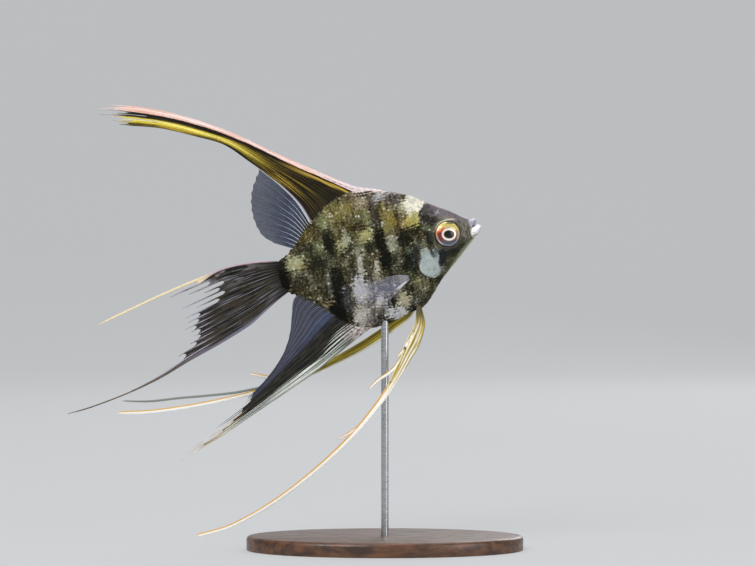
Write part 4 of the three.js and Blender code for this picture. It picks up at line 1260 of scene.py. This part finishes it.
def places_across(fin, columns, t, spacing, base_half, tip_half, first_ray):
    """How far across its fan each point of the sheet lies, counted in rays."""
    ray_of, offset_of, share_of = columns
    last = len(fin["ends"]) - 1
    ends = np.array(fin["ends"])[ray_of.astype(int)]
    taper = base_half + (tip_half - base_half) * t ** 0.7
    narrowed = 1 - 0.6 * ramp(t, ends - TIP_LENGTH, ends)
    half = taper * narrowed * np.where(ray_of == 0, first_ray, 1)
    half = np.minimum(half / spacing, MOST_OF_SPACING)
    next_half = np.minimum(taper / spacing, MOST_OF_SPACING)
    lean = fin.get("drawn_in", 0) * ramp(t, 0.4, 0.72)
    centre = ray_of + lean * (ray_of == last - 1)
    near_edge, far_edge = centre + half, ray_of + 1 + lean * (ray_of == last - 2) - next_half
    far_edge = np.maximum(far_edge, near_edge + 0.01)
    in_web = near_edge + (far_edge - near_edge) * share_of
    return np.where(share_of > 0, in_web, centre + offset_of * half)


def fan_weights(ray_of, ridge, t):
    """The share of its thickness at each point of a fan: its webs are thin and its first ray stout."""
    weights = np.where(ridge > 0, RAY_THICKNESS, WEB_THICKNESS) * (1 - 0.35 * t)
    return np.where((ray_of == 0) & (ridge > 0), np.minimum(weights * 1.5, 1), weights)


def make_fan(name, fin, stand, rows, base_half, tip_half, thickness, first_ray=1.0, ripple=0.0, hook=0.0):
    """A fin of raised rays with thin webs between them, as one closed sheet.

    base_half and tip_half are half a ray's width at its root and its tip. first_ray is how much wider
    the first ray is, ripple how far the web waves, and hook how far the free tips stray.
    """
    rays = len(fin["ends"])
    columns = fan_columns(rays)
    ray_of, offset_of, share_of = columns
    own = ray_of.astype(int)
    web = share_of > 0
    sheet, table = sheet_grid(name, len(own), rows)
    t = np.linspace(0, 1, rows)[:, None] + 0 * ray_of
    splits = np.append(fin["splits"], 0)[own]
    stops = np.where(web, splits, np.array(fin["ends"])[own])
    point = fan_point(fin)
    first, last = point(np.zeros((rows, 1)), t[:, :1]), point(np.ones((rows, 1)), t[:, :1])
    span = np.linalg.norm(last - first, axis=-1)
    across = places_across(fin, columns, t, span / (rays - 1), base_half, tip_half, first_ray)
    u = across / (rays - 1)
    drawn = t - NOTCH * web * ramp(t, stops - 4 * NOTCH, stops)
    flat = point(u, drawn)
    s, h = flat[..., 0], flat[..., 1]
    # Free tips stray a little from their line, each its own way.
    loose = ramp(t, splits - 0.02, 1.0) * (~web)
    stray = chance.normal(0, 1, rays)[own] * loose * hook
    s, h = s - 0.3 * np.abs(stray), h + stray
    y = stand(s, h) + ripple * np.sin(ray_of * 2.1 + 6 * t + 1) * t
    points = np.stack([s, h, y], axis=-1)
    place_vertices(sheet, posed(spread(table, points)))
    ridge = np.where(web, 0.0, 1 - offset_of ** 2) + 0 * t
    steps = np.linalg.norm(np.diff(flat, axis=0), axis=-1)
    run = np.concatenate([np.zeros((1, len(own))), np.cumsum(steps, axis=0)])
    store(sheet, "weave", spread(table, np.stack([u * (rays - 1), t, ridge], axis=-1)))
    store(sheet, "rim", spread(table, np.stack([u * span, (1 - u) * span, run], axis=-1)))
    store(sheet, "place", spread(table, points))
    set_weights(sheet, spread(table, fan_weights(ray_of, ridge, t)))
    remove_quads(sheet, table, beyond_stops(t, stops))
    thicken(sheet, thickness)
    return sheet


def thicken(sheet, thickness):
    """Gives a sheet its thickness, by its weights, and points its faces outwards."""
    apply_modifier(
        sheet, "SOLIDIFY", thickness=thickness * MM, offset=0, vertex_group="thickness",
        use_even_offset=False, use_rim=True,
    )
    sheet.vertex_groups.clear()
    in_edit_mode(sheet, outward)


def beyond_stops(t, stops):
    """Whether each quad [row, column] of a sheet lies past the end of its ray or web."""
    reach = np.minimum(stops[:-1], stops[1:])
    return t[:-1, :-1] >= reach[None, :] - 1e-6


def set_weights(obj, weights, levels=24):
    """The share of its thickness that a sheet has at each vertex, in a few levels."""
    group = obj.vertex_groups.new(name="thickness")
    level = np.rint(weights * levels).astype(int)
    for value in np.unique(level):
        group.add(np.flatnonzero(level == value).tolist(), value / levels, "REPLACE")


def remove_quads(obj, table, gone):
    """Deletes the quads of a sheet that gone marks by [row, column]."""
    rows, columns = table.shape
    row_of = np.zeros(len(obj.data.vertices), int)
    column_of = np.zeros(len(obj.data.vertices), int)
    row_of[table] = np.arange(rows)[:, None]
    column_of[table] = np.arange(columns)[None, :]
    corners = np.array([list(face.vertices) for face in obj.data.polygons])
    select_only(obj, "FACE", gone[row_of[corners].min(axis=1), column_of[corners].min(axis=1)])
    bpy.ops.mesh.delete(type="FACE")
    bpy.ops.object.mode_set(mode="OBJECT")


def make_ribbon(name, centre, widths, stand, rows, ridges, thickness, dim=0.0):
    """A streamer along a centre line, with fine ridges where it is wide. dim is how dull it is."""
    columns = 4 * ridges + 1
    sheet, table = sheet_grid(name, columns, rows)
    across = np.linspace(-1, 1, columns)[None, :] + np.zeros((rows, 1))
    t = np.linspace(0, 1, rows)[:, None] + 0 * across
    middle = line(centre)
    width = through(widths)(t) * (1 - 0.75 * ramp(t, 0.992, 1.0))
    ahead = middle(np.minimum(t + 0.004, 1)) - middle(np.maximum(t - 0.004, 0))
    ahead /= np.linalg.norm(ahead, axis=-1, keepdims=True)
    over = np.stack([-ahead[..., 1], ahead[..., 0]], axis=-1)
    flat = middle(t) + over * (across * width / 2)[..., None]
    s, h = flat[..., 0], flat[..., 1]
    points = np.stack([s, h, stand(s, h)], axis=-1)
    place_vertices(sheet, posed(spread(table, points)))
    ridge = 0.5 - 0.5 * np.cos((across + 1) * math.pi * ridges)
    from_edges = ((1 + across) * width / 2, (1 - across) * width / 2)
    store(sheet, "weave", spread(table, np.stack([across, t, ridge], axis=-1)))
    store(sheet, "rim", spread(table, np.stack([*from_edges, t], axis=-1)))
    store(sheet, "place", spread(table, points))
    store(sheet, "dim", np.full(rows * columns, dim))
    # Where it is wide it is a thin ribbed blade, and where it is narrow a round thread.
    blade = ramp(width, 1.6, 3.0)
    thread = np.sqrt(np.clip(1 - (across * 0.94) ** 2, 0, 1))
    set_weights(sheet, spread(table, (1 - blade) * thread + blade * (0.3 + 0.35 * ridge)))
    thicken(sheet, thickness)
    return sheet


def join_all(pieces):
    activate(pieces[0])
    for piece in pieces[1:]:
        piece.select_set(True)
    if len(pieces) > 1:
        bpy.ops.object.join()
    return pieces[0]


def make_pelvic(name, fin, stand):
    """A pelvic fin: a blade that runs out into a long filament, with its side strands."""
    parts = [make_ribbon(name, fin["centre"], fin["widths"], stand, rows=220, ridges=4, thickness=0.85)]
    for branch, width, dim in fin["branches"]:
        widths = [[0, width], [0.8, 0.9 * width], [1, 0.55 * width]]
        strand = make_ribbon(
            name + "_side", branch, widths, stand, rows=40, ridges=1, thickness=0.6 * width, dim=dim
        )
        parts.append(strand)
    return join_all(parts)


# Noise drawn out along the rays: how fine across and along them, its layer, detail and roughness.
STREAK = (2.2, 7.0, 3.0, 3.0, 0.6)
FIBRE = (9.0, 10.0, 7.0, 3.0, 0.6)
HAIR = (6.5, 3.5, 11.0, 1.5, 0.5)
SMOKE = (0.55, 9.0, 5.0, 2.0, 0.5)
STRAND = (2.8, 5.0, 9.0, 1.5, 0.5)
FINE_RAYS = 3  # to each ridge of the anal fin


def fin_material(name, paint):
    """A fin's material. paint gives its colour and, for a clear web, how far it covers.

    On a fan, ray counts from the first ray, t runs along it from 0 to 1, ridge is how high it stands,
    and from_first, from_last and run are millimetres from the fin's two edges and its root. On a
    ribbon, ray runs from -1 at one edge to 1 at the other, and run is t again.
    """
    material, nodes, shader = new_material(name, Roughness=0.45, Specular_IOR_Level=0.15)
    ray, t, ridge = nodes.split(nodes.attribute("weave"))
    from_first, from_last, run = nodes.split(nodes.attribute("rim"))
    flat = nodes.vector("MULTIPLY", nodes.attribute("place"), (1, 1, 0))
    fin = SimpleNamespace(
        ray=ray, t=t, ridge=ridge, from_first=from_first, from_last=from_last, run=run,
        grain=nodes.noise(flat, 0.9, 4.0, 0.65),
        streak=nodes.lengthwise(ray, t, *STREAK),
        fibre=nodes.lengthwise(ray, t, *FIBRE),
        hair=nodes.lengthwise(ray, t, *HAIR),
    )
    tone, cover = paint(nodes, fin)
    nodes.feed(shader["Base Color"], tone)
    if cover is not None:
        nodes.feed(shader["Alpha"], cover)
    segments = nodes.math("SINE", nodes.product(run, 9.0))
    height = nodes.total(nodes.product(fin.fibre, 0.8), nodes.product(segments, ridge, 0.25))
    nodes.feed(shader["Normal"], nodes.bump(height, 0.5, 0.0001))
    return material


def paint_streamer(nodes, fin):
    """The dorsal streamer: pink leading edge, black band, yellow band, near-black rear, gold lines, with
    painted highlights on the pink and the yellow.
    """
    near = nodes.step(fin.t, 0.34, 0.2)
    wavy = nodes.total(fin.from_first, nodes.step(fin.streak, 0.3, 0.7, -0.3, 0.3))
    tone = nodes.mix(nodes.step(fin.streak, 0.48, 0.7), "#141007", "#352D11")
    # gold lines, fewest in the dark heart of its root
    lines = nodes.product(nodes.step(fin.hair, 0.54, 0.61), nodes.step(fin.ray, 1.5, 6.5, 0.25, 0.95))
    heart = nodes.product(nodes.band(fin.ray, 3.6, 5.2, 0.6), near)
    tone = nodes.tint(tone, "#C0A03A", lines, nodes.step(heart, 0, 1, 1.0, 0.3))
    # the yellow band, with a bright core that is a painted highlight, and brown hairs
    band = nodes.product(nodes.band(fin.ray, 4.5, 7.2, 0.5), nodes.step(fin.t, 0.24, 0.55))
    tone = nodes.tint(tone, "#E3C93B", band, nodes.step(fin.fibre, 0.36, 0.52))
    core_highlight = nodes.product(nodes.band(fin.ray, 5.0, 6.3, 0.4), nodes.step(fin.t, 0.32, 0.5))
    tone = nodes.tint(tone, "#FFF48C", core_highlight, nodes.step(fin.hair, 0.4, 0.52), 0.9)
    tone = nodes.tint(tone, "#3A2E0C", band, nodes.step(fin.hair, 0.42, 0.36), 0.8)
    # the dark root, which reaches furthest on the rear rays
    root_end = nodes.step(fin.ray, 3.5, 5.5, 0.15, 0.21)
    root = nodes.step(nodes.math("DIVIDE", fin.t, root_end), 1.0, 0.35)
    tone = nodes.tint(tone, "#1C180E", root, 0.85)
    # the black band behind the pink edge, and a gold one behind that near the body
    past_black = nodes.math("SUBTRACT", wavy, nodes.math("SUBTRACT", 3.55, near))
    black = nodes.product(nodes.step(wavy, 1.7, 2.0), nodes.step(past_black, 0.3, -0.3))
    tone = nodes.tint(tone, "#14100C", black, 0.95)
    gold = nodes.product(nodes.band(wavy, 2.7, 4.2, 0.4), near, nodes.step(fin.fibre, 0.35, 0.55))
    tone = nodes.tint(tone, "#D0AE4A", gold, 0.85)
    # the pink edge, with painted highlights: pale streaks, whitest along its middle
    pink = nodes.mix(nodes.step(fin.fibre, 0.38, 0.6), "#DB8C73", "#FBDED2")
    pink_highlight = nodes.product(nodes.band(wavy, 0.15, 1.05, 0.25), nodes.step(fin.t, 0.86, 0.7, 0.3, 0.8))
    pink = nodes.tint(pink, "#FFF4F0", pink_highlight, nodes.step(fin.streak, 0.3, 0.5))
    pink = nodes.tint(pink, "#E9DCE2", nodes.step(fin.t, 0.2, 0.08, 0, 0.6))
    tone = nodes.tint(tone, pink, nodes.step(wavy, 1.9, 1.55))
    # a lavender rear edge, and pale free tips
    rear = nodes.product(nodes.step(fin.from_last, -0.1, -0.3), nodes.step(fin.t, 0.4, 0.28))
    tone = nodes.tint(tone, "#A79FB4", rear, nodes.step(fin.fibre, 0.3, 0.5), 0.85)
    tip_tone = nodes.mix(nodes.step(fin.fibre, 0.4, 0.6), "#9C94A6", "#EFE6D8")
    return nodes.tint(tone, tip_tone, nodes.step(fin.t, 0.88, 0.96), 0.8), None


def paint_veil(nodes, fin):
    """The soft dorsal fin: clear slate with fine white rays that fade towards its edge."""
    tone = nodes.mix(nodes.step(fin.streak, 0.35, 0.65), "#2C3446", "#3D465A")
    tone = nodes.tint(tone, "#7C8498", fin.ridge, 0.35)
    tone = nodes.tint(tone, "#DDE2EA", nodes.step(fin.t, 0.7, 0.15), nodes.step(fin.ridge, 0.3, 0.9))
    root = nodes.step(fin.t, 0.2, 0.06)
    tone = nodes.tint(tone, "#2E2C1C", root, nodes.step(fin.ridge, 0.9, 0.2), 0.85)
    clear = nodes.step(fin.t, 0.3, 1.0, 0.85, 0.6)
    return tone, nodes.most(clear, nodes.product(fin.ridge, 0.85), root)


def paint_tail(nodes, fin):
    """The tail: near-black web, pale strands, a thin pink upper edge, a dim lavender lower edge."""
    smoke = nodes.lengthwise(fin.ray, fin.t, *SMOKE)
    tone = nodes.mix(nodes.step(smoke, 0.42, 0.62), "#14110E", "#342E23")
    tone = nodes.tint(tone, "#5A5038", nodes.step(fin.fibre, 0.52, 0.72, 0, 0.4))
    # a smoky grey patch in the upper half
    smoky = nodes.product(nodes.step(fin.ray, 5.0, 1.0), nodes.band(fin.run, 12, 34, 4))
    tone = nodes.tint(tone, "#8D8992", smoky, nodes.step(smoke, 0.52, 0.6), 0.6)
    # pale crests and strands
    lit = nodes.product(nodes.step(fin.ridge, 0.65, 1.0), nodes.step(fin.fibre, 0.38, 0.6))
    tone = nodes.tint(tone, "#A5A5AC", lit, nodes.step(smoke, 0.6, 0.4, 0.15, 0.9))
    strand = nodes.step(nodes.lengthwise(fin.ray, fin.t, *STRAND), 0.56, 0.66)
    tone = nodes.tint(tone, "#8B8A94", strand, nodes.step(smoke, 0.62, 0.42), 0.6)
    tone = nodes.tint(tone, "#12100D", nodes.step(fin.run, 9, 3, 0, 0.9))
    # the free ends
    free = nodes.product(nodes.step(fin.t, 0.36, 0.45), nodes.step(fin.ridge, 0.1, 0.6))
    tone = nodes.tint(tone, "#B2ACC0", free, nodes.step(fin.streak, 0.36, 0.5, 0.35, 0.95))
    # the two long edges
    from_edge = nodes.math("SUBTRACT", fin.ray, nodes.step(fin.t, 0.34, 0.46, 0, 0.8))
    upper_tone = nodes.mix(nodes.step(fin.t, 0.32, 0.48), "#B99CA6", "#F6E3B8")
    tone = nodes.tint(tone, upper_tone, nodes.step(from_edge, 0.1, -0.05), nodes.step(fin.run, 3, 8))
    lower_tone = nodes.mix(nodes.step(fin.t, 0.3, 0.6), "#737182", "#6B5F52")
    tone = nodes.tint(tone, lower_tone, nodes.step(fin.ray, 13.3, 13.8), nodes.step(fin.run, 6, 14))
    return tone, nodes.most(nodes.step(fin.run, 5, 30, 1.0, 0.9), fin.ridge)


def paint_anal(nodes, fin):
    """The anal fin: a silvery leading edge, a black zone, and a dusky lavender rear with fine rays."""
    tone = nodes.mix(nodes.step(fin.streak, 0.35, 0.65), "#26262F", "#363746")
    # a blue sheen near its root
    blue = nodes.product(nodes.band(fin.ray, 5.6, 7.4, 0.8), nodes.band(fin.run, 3, 18, 4))
    tone = nodes.tint(tone, "#48587C", blue, nodes.step(fin.fibre, 0.4, 0.6), 0.6)
    comb = nodes.math("COSINE", nodes.product(fin.ray, 2 * math.pi * FINE_RAYS))
    crest = nodes.most(nodes.step(fin.ridge, 0.4, 0.95), nodes.step(comb, 0.3, 1.0, 0, 0.8))
    tone = nodes.tint(tone, "#8388A0", crest, nodes.step(fin.ray, 5.0, 8.0, 0.1, 0.42))
    dark = nodes.mix(nodes.step(fin.fibre, 0.5, 0.68), "#11100D", "#4A4730")
    tone = nodes.tint(tone, dark, nodes.step(fin.ray, 6.6, 4.8), 0.92)
    # the silvery edge, frayed into hairs and rosy at its root
    frayed = nodes.total(fin.ray, nodes.step(fin.hair, 0.35, 0.65, -0.8, 0.8))
    within = nodes.math("SUBTRACT", frayed, nodes.step(fin.run, 26, 8, 0, 1.3))
    pale = nodes.mix(nodes.step(fin.hair, 0.42, 0.54), "#DFE4DC", "#4A5046")
    rosy = nodes.mix(nodes.step(fin.grain, 0.4, 0.6), "#6E5F5C", "#D2C9C5")
    pale = nodes.tint(pale, rosy, nodes.step(fin.run, 16, 6))
    tone = nodes.tint(tone, pale, nodes.step(within, 1.5, 0.8), 0.92)
    # white and gold free ends
    free = nodes.product(nodes.step(fin.t, 0.7, 0.8), nodes.step(fin.ridge, 0.1, 0.6))
    end_tone = nodes.mix(nodes.step(fin.fibre, 0.4, 0.55), "#FAF8F0", "#CF9F42")
    tone = nodes.tint(tone, end_tone, free, nodes.step(fin.ray, 3.6, 2.6))
    tone = nodes.tint(tone, "#2A2820", nodes.step(fin.run, 2.5, 0.6), 0.6)
    return tone, nodes.most(nodes.step(fin.ray, 6.0, 9.0, 1.0, 0.84), fin.ridge)


def paint_pectoral(nodes, fin):
    """The pectoral fins: almost clear, with fine pale rays and a painted white glint streaked along the
    lower rays.
    """
    tone = nodes.mix(nodes.step(fin.streak, 0.35, 0.65), "#8E8FA6", "#BDBCC9")
    tone = nodes.tint(tone, "#DAD9E2", fin.ridge, 0.5)
    near = nodes.step(fin.t, 0.5, 0.1)
    tone = nodes.tint(tone, "#DCDBE6", near, 0.5)
    # A painted white glint, streaked along the lower rays, which also makes the fin less clear there.
    low = nodes.product(nodes.band(fin.ray, 6.6, 8.2, 0.3), nodes.band(fin.t, 0.12, 0.5, 0.08))
    tone = nodes.tint(tone, "#F4F3F8", low)
    rays = nodes.product(nodes.step(fin.ridge, 0.4, 1.0), nodes.step(fin.t, 1.0, 0.2, 0.12, 0.5))
    streak = nodes.product(low, nodes.step(fin.ridge, 0.2, 0.8, 0.3, 0.85))
    return tone, nodes.most(0.1, rays, nodes.product(near, 0.22), streak)


def paint_pelvic_right(nodes, fin):
    """The near pelvic fin: a cream blade with gold and brown lines, then a white filament edged gold."""
    tone = nodes.mix(nodes.step(fin.streak, 0.42, 0.6), "#B39D3F", "#F1EBD8")
    tone = nodes.tint(tone, "#D9B843", nodes.step(fin.fibre, 0.5, 0.66), 0.7)
    lines = nodes.product(nodes.step(fin.ridge, 0.4, 0.05), nodes.step(fin.t, 0.27, 0.16))
    tone = nodes.tint(tone, "#453B1F", lines, 0.8)
    tone = nodes.tint(tone, "#F3EFE2", nodes.step(fin.ray, 0.78, 0.95, 0, 0.7))
    filament = nodes.mix(nodes.step(fin.ray, 0.15, 0.6), "#FBF8F0", "#D39A38")
    tone = nodes.tint(tone, filament, nodes.step(fin.t, 0.2, 0.32), 0.94)
    return nodes.tint(tone, "#3B3A22", nodes.step(fin.t, 0.07, 0.015), 0.9), None


def paint_pelvic_left(nodes, fin):
    """The far pelvic fin: a yellow-olive blade with a pale lower edge, then a white filament."""
    tone = nodes.mix(nodes.step(fin.streak, 0.4, 0.62), "#857628", "#CDB743")
    tone = nodes.tint(tone, "#423C1A", nodes.step(fin.ridge, 0.35, 0.05), 0.55)
    tone = nodes.tint(tone, "#EDE8D2", nodes.step(fin.ray, -0.45, -0.8))
    filament = nodes.mix(nodes.step(fin.ray, 0.2, 0.65), "#FBF9F4", "#D9A440")
    tone = nodes.tint(tone, filament, nodes.step(fin.t, 0.36, 0.5), 0.94)
    return nodes.tint(tone, "#848A84", nodes.attribute("dim", "Fac")), None


def paint_spines(nodes, fin):
    """The short spines along the back: bone white, with rosy roots and lavender tips."""
    tone = nodes.mix(nodes.step(fin.streak, 0.4, 0.6), "#E9C9C4", "#FBF3F1")
    tone = nodes.tint(tone, "#CFC4DC", nodes.step(fin.t, 0.75, 0.95))
    return nodes.tint(tone, "#B08C8A", nodes.step(fin.t, 0.2, 0.02, 0, 0.5)), None


SPINE_TRACK = [[27.5, 19.2], [31, 20.5], [35, 21.9], [39, 23.6], [43, 26.4], [46.4, 28.9], [55, 35.4]]
SPINES = 9
SPINE_WIDTHS = [[0, 0.5], [0.4, 0.85], [0.85, 0.5], [1, 0.22]]
SPINE_RISE = (-0.5, 0.86)  # the way in which a spine's tip stands out from the back


def make_spines():
    """The hard spines at the front of the dorsal fin, lying back along it with their tips just free."""
    track = line(SPINE_TRACK)
    spines = []
    for i in range(SPINES):
        start = 0.035 + 0.068 * i
        shares = start + np.linspace(0, 0.17 + 0.006 * i, 5)
        lifts = np.array([-0.35, 0.0, 0.12, 0.3, 0.62 - 0.02 * i])
        centre = track(shares) + lifts[:, None] * SPINE_RISE
        spine = make_ribbon(
            "dorsal_spines", centre, SPINE_WIDTHS, sway_median, rows=22, ridges=1, thickness=0.8
        )
        spines.append(spine)
    return join_all(spines)


# ---------------------------------------------------------------- the stand
def wood_material():
    material, nodes, shader = new_material(
        "dark_walnut", Coat_Weight=0.35, Coat_Roughness=0.25, Specular_IOR_Level=0.45
    )
    point = nodes.add("ShaderNodeTexCoord").outputs["Object"]
    stretched = nodes.vector("MULTIPLY", point, (26, 150, 150))
    flow = nodes.vector("ADD", stretched, nodes.drift(stretched, 0.5, 2.0, 1.6))
    grain = nodes.noise(flow, 2.4, 5.0, 0.62)
    pores = nodes.noise(nodes.vector("MULTIPLY", point, (160, 1500, 1500)), 1.0, 2.0, 0.7)
    tone = nodes.mix(nodes.step(grain, 0.34, 0.66), "#3A2417", "#6E472C")
    tone = nodes.tint(tone, "#1F120B", nodes.step(pores, 0.6, 0.7, 0, 0.55))
    nodes.feed(shader["Base Color"], tone)
    nodes.feed(shader["Roughness"], nodes.step(pores, 0.4, 0.7, 0.36, 0.6))
    nodes.feed(shader["Normal"], nodes.bump(pores, 0.25, 0.0001))
    return material


def steel_material():
    material, nodes, shader = new_material("brushed_steel", Metallic=1.0)
    point = nodes.add("ShaderNodeTexCoord").outputs["Object"]
    rings = nodes.noise(nodes.vector("MULTIPLY", point, (300, 300, 9000)), 1.0, 3.0, 0.6)
    nodes.feed(shader["Base Color"], nodes.mix(nodes.step(rings, 0.3, 0.7), "#A6A9AC", "#C9CBCD"))
    nodes.feed(shader["Roughness"], nodes.step(rings, 0.3, 0.7, 0.24, 0.38))
    nodes.feed(shader["Normal"], nodes.bump(rings, 0.15, 0.00005))
    return material


def make_base(material):
    """The oval base, with a rounded upper edge and a fine one below."""
    low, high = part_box("stand_base")
    size, middle = high - low, (high + low) / 2
    bpy.ops.mesh.primitive_cylinder_add(vertices=160, radius=0.5, depth=1, end_fill_type="NGON")
    base = newest("stand_plinth")
    place_vertices(base, coordinates(base) * np.array(size) + np.array(middle))
    in_edit_mode(base, outward)
    for level, width, segments in ((high.z, 1.3, 4), (low.z, 0.35, 2)):
        bevel_level_edges(base, level, width * MM, segments)
    finish_piece(base, material, "stand_wood", "stand_base")
    activate(base)
    bpy.ops.object.shade_smooth_by_angle(angle=math.radians(35))


def bevel_level_edges(obj, level, width, segments):
    """Bevels the edges of obj that lie at this height."""
    heights = coordinates(obj)[:, 2]
    ends = np.array([list(edge.vertices) for edge in obj.data.edges])
    select_only(obj, "EDGE", (np.abs(heights[ends] - level) < 1e-6).all(axis=1))
    bpy.ops.mesh.bevel(offset=width, segments=segments, profile=0.5)
    bpy.ops.object.mode_set(mode="OBJECT")


# ---------------------------------------------------------------- building the fish
skin, skin_table, skin_place = make_skin()
scale_look = scale_material()
one_scale = scale_pattern()
for which, side in SIDES.items():
    flank = Flank(side, skin, skin_table, skin_place)
    make_scales("scales_" + which, side, flank, scale_look, one_scale)
eye_look = eye_material()
for which, side in SIDES.items():
    make_eye(which, side, eye_look)

streamer = make_fan(
    "dorsal_streamer", DORSAL_FRONT, sway_median, rows=150, base_half=0.5, tip_half=0.26, thickness=0.62,
    first_ray=1.5, hook=0.3,
)
streamer_look = fin_material("dorsal_streamer", paint_streamer)
finish_piece(streamer, streamer_look, "dorsal_streamer", "dorsal_fin_front")
finish_piece(make_spines(), fin_material("dorsal_spines", paint_spines), "dorsal_streamer")
veil = make_fan(
    "dorsal_veil", DORSAL_REAR, sway_median, rows=50, base_half=0.16, tip_half=0.12, thickness=0.36,
    ripple=0.12,
)
finish_piece(veil, fin_material("clear_veil", paint_veil), "clear_fins", "dorsal_fin_rear")
anal = make_fan(
    "anal_veil", ANAL, sway_median, rows=120, base_half=0.34, tip_half=0.42, thickness=0.5,
    first_ray=1.4, ripple=0.15, hook=0.25,
)
finish_piece(anal, fin_material("anal_veil", paint_anal), "dark_fins", "anal_fin")
tail = make_fan(
    "tail_veil", TAIL, sway_median, rows=170, base_half=0.24, tip_half=0.28, thickness=0.5,
    first_ray=1.6, ripple=0.2, hook=0.4,
)
tail_nodes = ("tail_fin_upper", "tail_fin_middle", "tail_fin_lower")
finish_piece(tail, fin_material("tail_veil", paint_tail), "dark_fins", *tail_nodes)
pectoral_look = fin_material("pectoral", paint_pectoral)
for which, side in SIDES.items():
    pectoral = make_fan(
        "pectoral_veil_" + which, PECTORAL, lambda s, h: side * sway_pectoral(s, h), rows=40,
        base_half=0.14, tip_half=0.1, thickness=0.32, ripple=0.1,
    )
    finish_piece(pectoral, pectoral_look, "clear_fins", "pectoral_fin_" + which)
near = make_pelvic("pelvic_streamer_right", PELVIC_RIGHT, sway_pelvic_right)
finish_piece(near, fin_material("pelvic_near", paint_pelvic_right), "pelvic_fins", "pelvic_fin_right")
far = make_pelvic("pelvic_streamer_left", PELVIC_LEFT, sway_pelvic_left)
finish_piece(far, fin_material("pelvic_far", paint_pelvic_left), "pelvic_fins", "pelvic_fin_left")

make_base(wood_material())
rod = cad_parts["stand_rod"]
rod.data.materials.clear()
rod.data.materials.append(steel_material())

# ---------------------------------------------------------------- studio
CAMERA_X, CAMERA_Z = -0.00256, 0.09257
CAMERA_AWAY = 1.0
VIEW_WIDTH = 0.2619  # the width that the camera takes in at the fish
SENSOR_WIDTH = 36
EVENNESS = 0.6  # how much of the backdrop's look is its own even tone
NEAREST, BEND_AT, BEND = -3.2, 5.0, 1.2  # where the floor starts, its level run and its curve's radius
PAPER_LONG, PAPER_HALF_WIDE = 9.0, 4.0
LAMPS = {  # place, width and power
    "key": ((-0.9, -1.5, 1.3), 1.2, 28),
    "fill": ((1.5, -1.3, 0.6), 1.4, 14),
    "top": ((0.1, 0.3, 1.9), 1.6, 13),
    "back": ((0.6, 1.6, 0.9), 1.0, 9),
}
LAMPS_AIM = Vector((0, 0, 0.09))


def make_backdrop():
    """A floor that curves up into a wall behind."""
    bpy.ops.mesh.primitive_grid_add(x_subdivisions=2, y_subdivisions=60, size=2)
    floor = newest("studio_floor")
    co = coordinates(floor)
    run = (co[:, 1] + 1) / 2 * PAPER_LONG  # metres along the floor and up the wall
    angle = np.clip((run - BEND_AT) / BEND, 0, math.pi / 2)
    past = np.maximum(run - BEND_AT - BEND * math.pi / 2, 0)
    y = NEAREST + np.minimum(run, BEND_AT) + BEND * np.sin(angle)
    z = BEND * (1 - np.cos(angle)) + past
    place_vertices(floor, np.column_stack([co[:, 0] * PAPER_HALF_WIDE, y, z]))
    smooth_faces(floor)
    material, nodes, shader = new_material("studio_paper", Roughness=0.9, Specular_IOR_Level=0.2)
    tint = nodes.noise(nodes.add("ShaderNodeTexCoord").outputs["Object"], 1.5, 2.0)
    nodes.feed(shader["Base Color"], nodes.mix(nodes.step(tint, 0.3, 0.7), "#C4C6C8", "#C7C9CA"))
    # Seen directly, or in metal and gloss, the paper is an even pale grey that keeps the shadow.
    path = nodes.add("ShaderNodeLightPath").outputs
    seen = nodes.most(path["Is Camera Ray"], path["Is Glossy Ray"], path["Is Transmission Ray"])
    glow = nodes.add("ShaderNodeEmission", {"Color": "#D2D4D6", "Strength": 1.0})
    both = nodes.add("ShaderNodeMixShader")
    nodes.feed(both.inputs[0], nodes.product(seen, EVENNESS))
    lit = material.node_tree.nodes["Principled BSDF"].outputs[0]
    nodes.tree.links.new(lit, both.inputs[1])
    nodes.tree.links.new(glow.outputs[0], both.inputs[2])
    nodes.tree.links.new(both.outputs[0], material.node_tree.nodes["Material Output"].inputs["Surface"])
    floor.data.materials.append(material)


def soft_light(name, place, size, power):
    data = bpy.data.lights.new(name, "AREA")
    data.shape = "DISK"
    data.size = size
    data.energy = power
    lamp = bpy.data.objects.new(name, data)
    bpy.context.scene.collection.objects.link(lamp)
    lamp.location = place
    lamp.rotation_mode = "QUATERNION"
    lamp.rotation_quaternion = (LAMPS_AIM - Vector(place)).to_track_quat("-Z", "Y")


make_backdrop()
for name, (place, width, power) in LAMPS.items():
    soft_light(name, place, width, power)

world = bpy.data.worlds.new("studio")
world.use_nodes = True
ambient = world.node_tree.nodes["Background"]
ambient.inputs["Color"].default_value = (0.80, 0.82, 0.85, 1)
ambient.inputs["Strength"].default_value = 0.33
sky = Nodes(world.node_tree)
seen = sky.add("ShaderNodeBackground", {"Color": "#D0D2D4", "Strength": 1.0})
both = sky.add("ShaderNodeMixShader", {0: sky.add("ShaderNodeLightPath").outputs["Is Camera Ray"]})
sky.tree.links.new(ambient.outputs[0], both.inputs[1])
sky.tree.links.new(seen.outputs[0], both.inputs[2])
sky.tree.links.new(both.outputs[0], world.node_tree.nodes["World Output"].inputs["Surface"])
scene = bpy.context.scene
scene.world = world
scene.view_settings.view_transform = "Standard"

camera_data = bpy.data.cameras.new("camera")
camera_data.sensor_width = SENSOR_WIDTH
camera_data.lens = SENSOR_WIDTH * CAMERA_AWAY / VIEW_WIDTH
camera_data.clip_start, camera_data.clip_end = 0.05, 30
camera = bpy.data.objects.new("camera", camera_data)
scene.collection.objects.link(camera)
camera.location = (CAMERA_X, -CAMERA_AWAY, CAMERA_Z)
camera.rotation_euler = (math.radians(90), 0, 0)
scene.camera = camera
